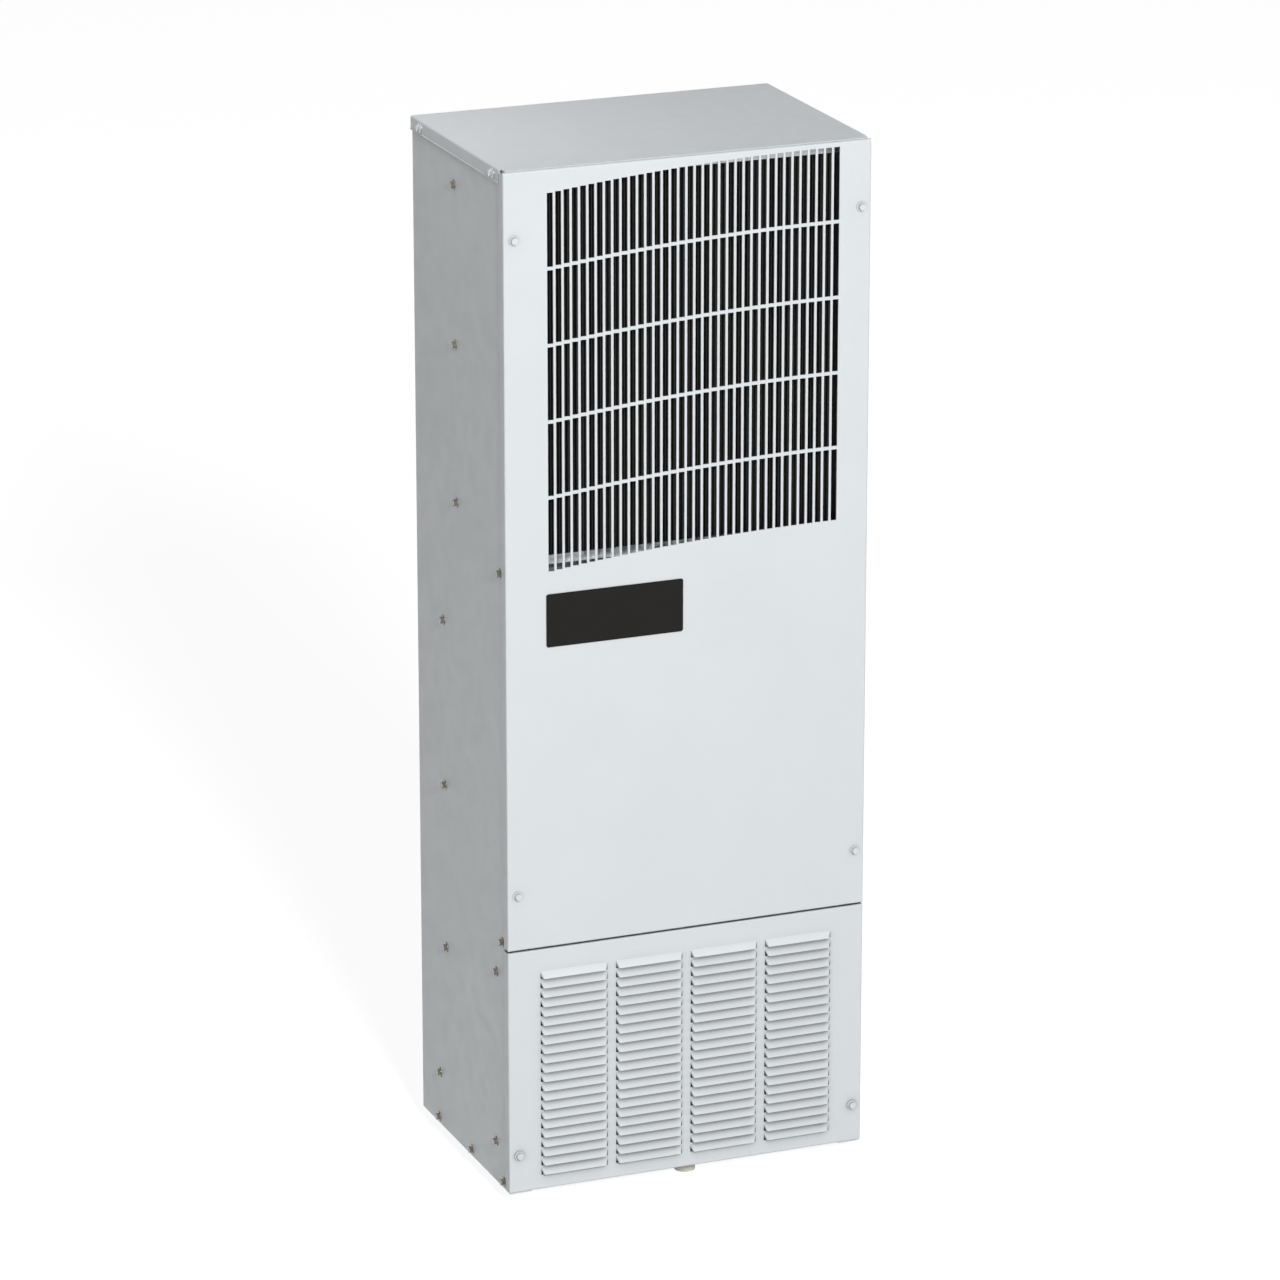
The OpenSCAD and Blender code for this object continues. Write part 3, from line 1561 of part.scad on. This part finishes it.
module control_box_cover() {
    color(zinc) placed() upright(box_y0 - sheet_t, sheet_t) difference() {
        area([box_x0, box_z0], [box_x1, box_z1]);
        translate([thermostat_x, thermostat_z]) circle(knob_shaft_r + tube_clear);
    }
}

// Oval can with two posts, standing on the box's floor
module run_capacitor() {
    mid_y = (box_y0 + box_inner_y) / 2;
    low = box_z0 + sheet_t;
    color(zinc) placed() {
        translate([capacitor_x, mid_y, low]) linear_extrude(capacitor_h) {
            circle(capacitor_r);
            area([0, -capacitor_r], [capacitor_span, capacitor_r]);
            translate([capacitor_span, 0]) circle(capacitor_r);
        }
        for (x = [capacitor_x, capacitor_x + capacitor_span]) {
            rod_z([x, mid_y, low + capacitor_h], terminal_post_r, terminal_post_h);
        }
    }
}

module contactor() {
    top = box_z1 - sheet_t - control_gap;
    color(black) placed() block(
        [middle_x - contactor_w / 2, box_inner_y - contactor_d, top - contactor_h],
        [middle_x + contactor_w / 2, box_inner_y, top]
    );
}

// Terminal block with a row of screws
module terminal_block() {
    low = box_z0 + sheet_t + control_gap;
    face_y = box_inner_y - block_d;
    left = middle_x - block_w / 2;
    color(pale) placed() {
        block([left, face_y, low], [left + block_w, box_inner_y, low + block_h]);
        for (i = [0 : block_ways - 1]) {
            x = left + (i + 0.5) * block_w / block_ways;
            rod_y([x, face_y - block_screw_h, low + block_h / 2], block_screw_r, block_screw_h);
        }
    }
}

// Thermostat behind the cover, bored for the knob's shaft
module thermostat_body() {
    color(pale) placed() difference() {
        block(
            [thermostat_x - thermostat_w / 2, box_y0, thermostat_z - thermostat_h / 2],
            [thermostat_x + thermostat_w / 2, box_y0 + thermostat_d, thermostat_z + thermostat_h / 2]
        );
        rod_y(
            [thermostat_x, box_y0 - overrun, thermostat_z],
            knob_shaft_r + running_clear,
            shaft_depth + 2 * overrun
        );
    }
}

// Knob with a gripped edge and a shaft into the thermostat
module thermostat_knob() {
    back_y = box_y0 - sheet_t - knob_gap;
    color(black) placed() {
        difference() {
            rod_y([thermostat_x, back_y - knob_h, thermostat_z], knob_r, knob_h);
            translate([thermostat_x, 0, thermostat_z]) for (i = [0 : knob_grips - 1]) {
                rotate([0, i * 360 / knob_grips, 0])
                    rod_y([knob_r, back_y - knob_h - overrun, 0], knob_grip_r, knob_h + 2 * overrun);
            }
        }
        rod_y(
            [thermostat_x, back_y - overrun, thermostat_z],
            knob_shaft_r,
            box_y0 + shaft_depth - back_y + overrun
        );
    }
}

// Rubber ring that lines the cable entry
module cable_grommet() {
    body_r = cable_r + grommet_wall;
    lip_l = grommet_lip_t;
    color(black) placed() difference() {
        union() {
            rod_y([-cable_x, rear_panel_y - lip_l, cable_z], body_r, sheet_t + 2 * lip_l);
            rod_y([-cable_x, rear_panel_y - lip_l, cable_z], body_r + grommet_lip, lip_l);
            rod_y([-cable_x, rear_panel_y + sheet_t, cable_z], body_r + grommet_lip, lip_l);
        }
        rod_y([-cable_x, rear_panel_y - 2 * lip_l, cable_z], cable_r, sheet_t + 4 * lip_l);
    }
}

left_side_panel();
right_side_panel();
rear_panel();
base_pan();
top_cover();
upper_front_panel();
lower_front_panel();
name_plate();
front_panel_screws();
cover_screws();
side_screws();
rear_screws();
mounting_inserts();
mounting_gasket();
seam_rail();
bulkhead();
bulkhead_insulation();
coil_shelf();
coil_seal_strip();
condenser_fins();
condenser_tubes();
condenser_frame();
condenser_shroud();
condenser_inlet_ring();
condenser_impeller();
condenser_motor_rotor();
condenser_motor_stator();
evaporator_fins();
evaporator_tubes();
evaporator_frame();
evaporator_inlet_ring();
evaporator_impeller();
evaporator_motor_rotor();
evaporator_motor_stator();
evaporator_motor_bracket();
evaporator_drain_pan();
drain_hose();
drain_fitting();
inlet_guard();
outlet_guard();
compressor_deck();
compressor_shell();
compressor_feet();
compressor_grommets();
compressor_bolts();
compressor_terminal_cover();
accumulator();
filter_drier();
discharge_line();
liquid_line();
capillary_tube();
suction_line();
control_box();
control_box_cover();
run_capacitor();
contactor();
terminal_block();
thermostat_body();
thermostat_knob();
cable_grommet();
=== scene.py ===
# Looks, lamps, floor and camera of the enclosure cooling unit, whose forms are all CAD
import json
import math
import bpy
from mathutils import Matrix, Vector


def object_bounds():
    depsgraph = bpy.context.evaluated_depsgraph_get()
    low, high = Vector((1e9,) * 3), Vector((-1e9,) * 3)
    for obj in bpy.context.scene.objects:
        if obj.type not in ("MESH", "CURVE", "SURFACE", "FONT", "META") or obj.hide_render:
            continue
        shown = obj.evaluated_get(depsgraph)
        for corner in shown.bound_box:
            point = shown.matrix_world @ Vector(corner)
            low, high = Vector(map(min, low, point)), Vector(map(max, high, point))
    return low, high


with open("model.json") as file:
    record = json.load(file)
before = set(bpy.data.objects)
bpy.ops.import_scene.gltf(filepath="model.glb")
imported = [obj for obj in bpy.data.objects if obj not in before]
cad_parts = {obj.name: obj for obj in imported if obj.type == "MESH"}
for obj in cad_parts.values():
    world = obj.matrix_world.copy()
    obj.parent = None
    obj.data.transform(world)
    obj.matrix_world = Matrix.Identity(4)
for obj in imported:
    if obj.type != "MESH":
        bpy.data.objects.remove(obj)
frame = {"nodes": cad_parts, "record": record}
cad_low, cad_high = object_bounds()
scene = bpy.context.scene
nodes = frame["nodes"]

# Sizes of the marks in the finishes, in metres
CLOUD = 0.12
GLOSS_CLOUD = CLOUD / 6
ORANGE_PEEL = 0.0026
PAINT_GRAIN = 0.0007
SPANGLE = 0.009
CAN_SPANGLE = 0.03
PLATING_PATCH = 0.004
DRAWN_MARK = 0.003
TARNISH_PATCH = 0.05
FIN_PITCH = 0.0018
FIN_RIPPLE = FIN_PITCH * 7
FIN_DUST = 0.02
FOAM_PORE = 0.0016
FOAM_CLUMP = FOAM_PORE * 8
MOULD_GRAIN = 0.0005
COARSE_GRAIN = MOULD_GRAIN * 2
RUBBER_GRAIN = 0.001
RUBBED_PATCH = 0.03
PRINT_SPECK = PAINT_GRAIN * 1.6
PRINT_HAZE = 0.03
RESIN_CLOUD = 0.02
FLOOR_GRAIN = 0.01

# Shares of X, Y and Z that draw the marks on tube out along Z
DRAWN_OUT = (1.0, 1.0, 0.15)

# Unpigmented plastic: the share of light that enters it, and how far, in metres
RESIN_SCATTER = 0.25
RESIN_DEPTH = 0.003

# Painted shade in crevices of the painted sheet: the reach to the surface across, in
# metres, the openness at which the painted shade is darkest and the one at which it ends,
# the samples that measure it, and the share of the paint's brightness that the painted
# shade takes there and between the louvers
CREVICE = 0.018
CREVICE_CLOSED = 0.48
CREVICE_OPEN = 0.98
CREVICE_SAMPLES = 8
CREVICE_PAINTED_SHADE = 0.35
LOUVER_PAINTED_SHADE = 0.85

# The span that most values of a noise texture lie in
NOISE_LOW = 0.3
NOISE_HIGH = 0.7

# The period of a banded wave texture at scale 1
WAVE_PERIOD = math.pi / 10

# Base colours, as linear red, green and blue
PAINT = (0.735, 0.768, 0.788)
PAINT_CLOUDED = (0.712, 0.746, 0.766)
ZINC_LIGHT = (0.66, 0.68, 0.69)
ZINC_DARK = (0.44, 0.46, 0.47)
SCREW_BROWN = (0.37, 0.355, 0.325)
SCREW_STAIN = (0.20, 0.19, 0.17)
SCREW_BRIGHT = (0.66, 0.67, 0.67)
SCREW_BRIGHT_STAIN = (0.42, 0.43, 0.43)
COPPER = (0.72, 0.38, 0.24)
COPPER_TARNISH = (0.42, 0.20, 0.12)
# Coil fins: the black coat, a painted highlight on its crests, the bare foil, and painted
# shade in the gaps of the foil, which the foil's dust clouds also take
FIN_BLACK = (0.010, 0.0095, 0.0085)
FIN_BLACK_PAINTED_HIGHLIGHT = (0.030, 0.028, 0.025)
FIN_SILVER = (0.72, 0.73, 0.74)
FIN_GAP_PAINTED_SHADE_AND_DUST = (0.30, 0.31, 0.32)
# Foam: its skin, and the darker colour that paints shade into each pore and tones the
# clumps
FOAM = (0.120, 0.128, 0.145)
FOAM_PIT_SHADE_AND_TONE = (0.040, 0.043, 0.050)
PLASTIC = (0.022, 0.022, 0.023)
PLASTIC_RUB = (0.040, 0.040, 0.041)
SATIN_BLACK = (0.018, 0.018, 0.019)
SATIN_BLACK_DUST = (0.045, 0.044, 0.042)
PLATE = (0.0100, 0.0095, 0.0085)
PLATE_SPECK = (0.0200, 0.0195, 0.0180)
NATURAL = (0.76, 0.75, 0.68)
NATURAL_DEEP = (0.62, 0.60, 0.52)
RUBBER = (0.025, 0.025, 0.025)
RUBBER_BLOOM = (0.055, 0.054, 0.052)
WHITE = (1.0, 1.0, 1.0)


def rgba(colour):
    """The colour as a socket takes it, fully opaque."""
    return (*colour, 1.0)


class Finish:
    """A principled material, with short calls for the nodes that the finishes share."""

    def __init__(self, name, metallic=0.0, specular=0.5):
        self.material = bpy.data.materials.new(name)
        self.material.use_nodes = True
        self.tree = self.material.node_tree
        self.shader = self.tree.nodes["Principled BSDF"]
        self.shader.inputs["Metallic"].default_value = metallic
        self.shader.inputs["Specular IOR Level"].default_value = specular
        self.place = self.add("ShaderNodeTexCoord").outputs["Object"]
        self.relief = None

    def add(self, kind, **values):
        """A new node with these values on its inputs, where _ stands for a space."""
        node = self.tree.nodes.new(kind)
        for name, value in values.items():
            node.inputs[name.replace("_", " ")].default_value = value
        return node

    def link(self, source, target):
        self.tree.links.new(source, target)

    def stretched(self, shares):
        """The object's coordinates times these shares: a small share draws marks out."""
        mapping = self.add("ShaderNodeMapping", Scale=shares)
        self.link(self.place, mapping.inputs["Vector"])
        return mapping.outputs["Vector"]

    def noise(self, size, detail=2.0, roughness=0.5, place=None):
        """Clouds of about this size."""
        node = self.add("ShaderNodeTexNoise", Scale=1 / size, Detail=detail,
                        Roughness=roughness)
        self.link(place or self.place, node.inputs["Vector"])
        return node.outputs["Fac"]

    def cells(self, size, output="Distance"):
        """Cells of about this size: the distance from each one's middle, or its colour."""
        node = self.add("ShaderNodeTexVoronoi", Scale=1 / size)
        self.link(self.place, node.inputs["Vector"])
        return node.outputs[output]

    def ridges(self, pitch, axis):
        """Ridges across an axis, one in each pitch, from 0 in the gap to 1 on the crest."""
        node = self.add("ShaderNodeTexWave", Scale=WAVE_PERIOD / pitch)
        node.wave_type = "BANDS"
        node.bands_direction = axis
        node.wave_profile = "SIN"
        self.link(self.place, node.inputs["Vector"])
        return node.outputs["Fac"]

    def spread(self, factor, low, high, start=NOISE_LOW, end=NOISE_HIGH):
        """A number that runs from low to high while the factor runs from start to end."""
        node = self.add("ShaderNodeMapRange", From_Min=start, From_Max=end,
                        To_Min=low, To_Max=high)
        self.link(factor, node.inputs["Value"])
        return node.outputs["Result"]

    def mixed(self, factor, first, second, share=1.0, start=NOISE_LOW, end=NOISE_HIGH):
        """The first colour, with up to this share of the second as the factor runs from
        start to end. Each colour is a tuple or another colour's socket."""
        amount = self.spread(factor, 0.0, share, start, end)
        node = self.tree.nodes.new("ShaderNodeMix")
        node.data_type = "RGBA"
        self.link(amount, node.inputs["Factor"])
        for name, colour in (("A", first), ("B", second)):
            socket = next(s for s in node.inputs if s.name == name and s.type == "RGBA")
            if isinstance(colour, tuple):
                socket.default_value = rgba(colour)
            else:
                self.link(colour, socket)
        return next(s for s in node.outputs if s.type == "RGBA")

    def with_painted_shade(self, colour, reach, share):
        """Painted shade: the colour, darker by up to this share where other surfaces are
        within reach.
        """
        nearby = self.add("ShaderNodeAmbientOcclusion", Distance=reach)
        nearby.samples = CREVICE_SAMPLES
        openness = nearby.outputs["AO"]
        kept = self.spread(openness, 1.0 - share, 1.0, CREVICE_CLOSED, CREVICE_OPEN)
        darker = self.tree.nodes.new("ShaderNodeHueSaturation")
        self.link(kept, darker.inputs["Value"])
        self.link(colour, darker.inputs["Color"])
        return darker.outputs["Color"]

    def colour(self, socket):
        self.link(socket, self.shader.inputs["Base Color"])

    def roughness(self, factor, low, high):
        self.link(self.spread(factor, low, high), self.shader.inputs["Roughness"])

    def bump(self, factor, depth, strength):
        """Adds relief of this depth in metres on top of the relief so far."""
        node = self.add("ShaderNodeBump", Strength=strength, Distance=depth)
        self.link(factor, node.inputs["Height"])
        if self.relief is not None:
            self.link(self.relief, node.inputs["Normal"])
        self.relief = node.outputs["Normal"]
        self.link(self.relief, self.shader.inputs["Normal"])


def powder_coat(name, clean, clouded, roughness=(0.36, 0.50), shade=CREVICE_PAINTED_SHADE):
    """Baked powder on sheet metal: an orange peel skin over soft clouds of tone, with
    painted shade where other surfaces close in.
    """
    f = Finish(name)
    cloud = f.noise(CLOUD, detail=3.0)
    grain = f.noise(PAINT_GRAIN, detail=1.0)
    toned = f.mixed(cloud, clean, clouded)
    coat = f.mixed(grain, toned, clouded, share=0.35)
    # Painted shade: the coat darkens where other surfaces stand within the crevice reach
    f.colour(f.with_painted_shade(coat, CREVICE, shade))
    f.roughness(f.noise(GLOSS_CLOUD, detail=4.0), *roughness)
    peel = f.noise(ORANGE_PEEL, roughness=0.6)
    f.bump(peel, depth=ORANGE_PEEL * 0.05, strength=0.55)
    f.bump(f.noise(PAINT_GRAIN, detail=1.0), depth=PAINT_GRAIN * 0.05, strength=0.4)
    return f.material


def galvanised(name, light, dark, spangle=SPANGLE, roughness=(0.30, 0.50)):
    """Zinc dipped sheet: flat crystals that each shine a little differently."""
    f = Finish(name, metallic=1.0)
    crystal = f.cells(spangle, "Color")
    tone = f.add("ShaderNodeSeparateColor")
    f.link(crystal, tone.inputs["Color"])
    smear = f.noise(CLOUD, detail=4.0)
    toned = f.mixed(tone.outputs["Red"], light, dark, share=0.6, start=0.0, end=1.0)
    f.colour(f.mixed(smear, toned, dark, share=0.3))
    f.roughness(tone.outputs["Green"], *roughness)
    f.bump(f.cells(spangle), depth=spangle * 0.006, strength=0.35)
    f.bump(f.noise(COARSE_GRAIN, detail=3.0), depth=MOULD_GRAIN * 0.05, strength=0.3)
    return f.material


def plated(name, bright, stain):
    """Small turned or pressed fasteners with a thin plate that dulls in patches."""
    f = Finish(name, metallic=1.0)
    patch = f.noise(PLATING_PATCH, detail=4.0, roughness=0.6)
    f.colour(f.mixed(patch, bright, stain, start=0.42, end=0.66))
    f.roughness(patch, 0.28, 0.48)
    f.bump(f.noise(MOULD_GRAIN), depth=MOULD_GRAIN * 0.08, strength=0.4)
    return f.material


def copper(name):
    """Drawn tube: long marks and tarnish that starts in clouds."""
    f = Finish(name, metallic=1.0)
    tarnish = f.noise(TARNISH_PATCH, detail=6.0, roughness=0.6)
    marks = f.noise(DRAWN_MARK, detail=3.0, place=f.stretched(DRAWN_OUT))
    body = f.mixed(tarnish, COPPER, COPPER_TARNISH, start=0.45, end=0.72)
    f.colour(f.mixed(marks, body, COPPER_TARNISH, share=0.25))
    f.roughness(tarnish, 0.22, 0.42)
    f.bump(marks, depth=DRAWN_MARK * 0.01, strength=0.3)
    return f.material


def finned(name, crest, gap, metallic, roughness):
    """A coil face: thin plates on a close pitch, rippled where they are corrugated, with
    painted highlight on each crest and painted shade in each gap between the plates.
    """
    f = Finish(name, metallic=metallic)
    plates = f.ridges(FIN_PITCH, "X")
    ripple = f.ridges(FIN_RIPPLE, "Z")
    dust = f.noise(FIN_DUST, detail=5.0, roughness=0.65)
    # Painted light and shade across the plates: the crest colour on each crest, the gap
    # colour in each gap
    plate_light_and_shade = f.mixed(plates, gap, crest, start=0.35, end=0.9)
    # Dust clouds darken the plates towards the gap colour
    f.colour(f.mixed(dust, plate_light_and_shade, gap, share=0.4, start=0.45))
    f.roughness(dust, *roughness)
    f.bump(plates, depth=FIN_PITCH * 0.5, strength=0.9)
    f.bump(ripple, depth=FIN_PITCH * 0.2, strength=0.4)
    return f.material


def foam(name):
    """Closed cell foam with a skin that is pricked by pores, with painted shade in each
    pore.
    """
    f = Finish(name, specular=0.3)
    pores = f.cells(FOAM_PORE)
    clump = f.noise(FOAM_CLUMP, detail=4.0)
    # Painted shade: each pore darkens towards its middle; the clumps below are darker tone
    skin = f.mixed(pores, FOAM_PIT_SHADE_AND_TONE, FOAM, start=0.15, end=0.55)
    f.colour(f.mixed(clump, skin, FOAM_PIT_SHADE_AND_TONE, share=0.4))
    f.roughness(clump, 0.75, 0.95)
    f.bump(pores, depth=FOAM_PORE * 0.35, strength=0.8)
    f.bump(clump, depth=FOAM_PORE * 0.4, strength=0.4)
    return f.material


def moulded(name, body, rub, roughness, grain=MOULD_GRAIN):
    """Moulded parts with a spark-eroded grain and faint rubbed patches."""
    f = Finish(name)
    rubbed = f.noise(RUBBED_PATCH, detail=5.0, roughness=0.6)
    f.colour(f.mixed(rubbed, body, rub, start=0.45, end=0.75))
    f.roughness(rubbed, *roughness)
    f.bump(f.noise(grain), depth=grain * 0.12, strength=0.6)
    return f.material


def plate_face(name):
    """The blank plate: a satin black print, finely speckled, on thin aluminium."""
    f = Finish(name, specular=0.12)
    speck = f.noise(PRINT_SPECK, roughness=0.7)
    haze = f.noise(PRINT_HAZE, detail=3.0)
    base = f.mixed(speck, PLATE, PLATE_SPECK, share=0.7, start=0.5, end=0.75)
    f.colour(f.mixed(haze, base, PLATE_SPECK, share=0.2))
    f.roughness(haze, 0.42, 0.55)
    f.bump(speck, depth=PAINT_GRAIN * 0.08, strength=0.5)
    return f.material


def natural_plastic(name):
    """Unpigmented plastic that light goes a little way into."""
    f = Finish(name)
    cloud = f.noise(RESIN_CLOUD, detail=3.0)
    f.colour(f.mixed(cloud, NATURAL, NATURAL_DEEP))
    f.roughness(cloud, 0.30, 0.45)
    f.shader.inputs["Subsurface Weight"].default_value = RESIN_SCATTER
    f.shader.inputs["Subsurface Scale"].default_value = RESIN_DEPTH
    f.bump(f.noise(COARSE_GRAIN), depth=MOULD_GRAIN * 0.1, strength=0.4)
    return f.material


FINISHES = {
    "paint": powder_coat("panel_paint", PAINT, PAINT_CLOUDED),
    "zinc_sheet": galvanised("zinc_sheet", ZINC_LIGHT, ZINC_DARK),
    "bronze_screw": plated("side_screw_plate", SCREW_BROWN, SCREW_STAIN),
    "copper_tube": copper("copper_tube"),
    "dark_fins": finned("condenser_fin_coat", FIN_BLACK_PAINTED_HIGHLIGHT, FIN_BLACK,
                        metallic=0.0, roughness=(0.55, 0.75)),
    "bare_fins": finned("evaporator_fin_foil", FIN_SILVER, FIN_GAP_PAINTED_SHADE_AND_DUST,
                        metallic=1.0, roughness=(0.30, 0.50)),
    "dark_foam": foam("dark_foam"),
    "black_plastic": moulded("black_plastic", PLASTIC, PLASTIC_RUB, roughness=(0.42, 0.58)),
    "black_paint": powder_coat("satin_black", SATIN_BLACK, SATIN_BLACK_DUST,
                               roughness=(0.28, 0.45)),
    "plate_face": plate_face("plate_face"),
    "pale_plastic": natural_plastic("natural_plastic"),
    "black_rubber": moulded("black_rubber", RUBBER, RUBBER_BLOOM,
                            roughness=(0.65, 0.85), grain=RUBBER_GRAIN),
}

# Nodes whose finish differs from the rest of their slot
OWN_FINISHES = {
    # The louvered panel takes deeper painted shade under and between its louvers
    "lower_front_panel": powder_coat("louver_paint_painted_shade", PAINT, PAINT_CLOUDED,
                                     shade=LOUVER_PAINTED_SHADE),
    "cover_screws": plated("bright_screw_plate", SCREW_BRIGHT, SCREW_BRIGHT_STAIN),
    "compressor_bolts": plated("bolt_plate", SCREW_BRIGHT, SCREW_BRIGHT_STAIN),
    "run_capacitor": galvanised("aluminium_can", ZINC_LIGHT, ZINC_DARK,
                                spangle=CAN_SPANGLE, roughness=(0.24, 0.34)),
}


def dress_nodes():
    """Gives every CAD node the finish of its slot, or its own."""
    for part in frame["record"]["subparts"]:
        finish = OWN_FINISHES.get(part["node"], FINISHES[part["material_slot"]])
        for slot in nodes[part["node"]].material_slots:
            slot.material = finish


# Camera: fitted to the cabinet's edges, with no shift; sensor and lens in millimetres
CAMERA_AZIMUTH = math.radians(-21.94)
CAMERA_ELEVATION = math.radians(17.89)
CAMERA_PLACE = (-2.90401, -7.37761, 2.50570)
SENSOR = 36.0
LENS = 176.43


def place_camera():
    data = bpy.data.cameras.new("camera")
    data.sensor_width = SENSOR
    data.lens = LENS
    camera = bpy.data.objects.new("camera", data)
    camera.location = CAMERA_PLACE
    camera.rotation_euler = (math.pi / 2 - CAMERA_ELEVATION, 0.0, CAMERA_AZIMUTH)
    scene.collection.objects.link(camera)
    scene.camera = camera


# Light: the world's level, and the one that each lamp gives on a white card at its aim
AMBIENT = 0.18
LAMPS = {
    "key": {
        "level": 0.78,
        "place": (-0.7, -7.9, 3.9),
        "aim": (0.0, -0.17, 0.0),
        "size": 1.8,
    },
    "fill": {
        "level": 0.20,
        "place": (-2.4, -1.0, -0.7),
        "aim": (-0.25, -0.17, -0.5),
        "size": 1.0,
    },
    "over": {
        "level": 0.30,
        "place": (-0.35, -0.12, 1.03),
        "aim": (-0.25, -0.12, 0.68),
        "size": 0.3,
    },
}


def panel_lamp(name, level, place, aim, size):
    """A square panel of light that isn't seen itself."""
    data = bpy.data.lights.new(name, "AREA")
    data.shape = "SQUARE"
    data.size = size
    away = Vector(aim) - Vector(place)
    data.energy = level * math.pi ** 2 * away.length_squared
    lamp = bpy.data.objects.new(name, data)
    lamp.location = place
    lamp.rotation_mode = "QUATERNION"
    lamp.rotation_quaternion = away.to_track_quat("-Z", "Y")
    lamp.visible_camera = False
    scene.collection.objects.link(lamp)


def seen_directly(tree):
    """1 for what the camera sees, also in a mirror or through glass, and 0 otherwise."""
    path = tree.nodes.new("ShaderNodeLightPath")
    factor = path.outputs["Is Camera Ray"]
    for ray in ("Is Glossy Ray", "Is Transmission Ray"):
        either = tree.nodes.new("ShaderNodeMath")
        either.operation = "MAXIMUM"
        tree.links.new(factor, either.inputs[0])
        tree.links.new(path.outputs[ray], either.inputs[1])
        factor = either.outputs["Value"]
    return factor


def light_world():
    """Soft light from all round, from a world that the camera sees as white."""
    world = bpy.data.worlds.new("studio")
    world.use_nodes = True
    scene.world = world
    tree = world.node_tree
    ambient = tree.nodes["Background"]
    shown = tree.nodes.new("ShaderNodeBackground")
    for background, strength in ((ambient, AMBIENT), (shown, 1.0)):
        background.inputs["Color"].default_value = rgba(WHITE)
        background.inputs["Strength"].default_value = strength
    choice = tree.nodes.new("ShaderNodeMixShader")
    tree.links.new(seen_directly(tree), choice.inputs["Fac"])
    tree.links.new(ambient.outputs["Background"], choice.inputs[1])
    tree.links.new(shown.outputs["Background"], choice.inputs[2])
    tree.links.new(choice.outputs["Shader"], tree.nodes["World Output"].inputs["Surface"])


# Floor: its colour, the white that is added where the camera sees it, and, in metres, its
# gap below the drain fitting and its reach to each side
FLOOR_COLOUR = (0.5, 0.5, 0.5)
FLOOR_LIFT = 0.86
FLOOR_GAP = 0.002
FLOOR_REACH = 30.0


def floor_card():
    """Pale card, lifted to white where the camera sees it."""
    f = Finish("floor_card", specular=0.0)
    grain = f.noise(FLOOR_GRAIN)
    f.colour(f.mixed(grain, FLOOR_COLOUR, WHITE, share=0.02))
    f.roughness(grain, 0.9, 1.0)
    f.shader.inputs["Emission Color"].default_value = rgba(WHITE)
    lift = f.spread(seen_directly(f.tree), 0.0, FLOOR_LIFT, start=0.0, end=1.0)
    f.link(lift, f.shader.inputs["Emission Strength"])
    return f.material


def lay_floor():
    """One flat square of card under the drain fitting, the lowest thing on the unit."""
    level = cad_low.z - FLOOR_GAP
    r = FLOOR_REACH
    corners = [(-r, -r, level), (r, -r, level), (r, r, level), (-r, r, level)]
    mesh = bpy.data.meshes.new("floor")
    mesh.from_pydata(corners, [], [(0, 1, 2, 3)])
    mesh.materials.append(floor_card())
    floor = bpy.data.objects.new("floor", mesh)
    scene.collection.objects.link(floor)


scene.view_settings.view_transform = "Standard"
dress_nodes()
place_camera()
for name, lamp in LAMPS.items():
    panel_lamp(name, **lamp)
light_world()
lay_floor()
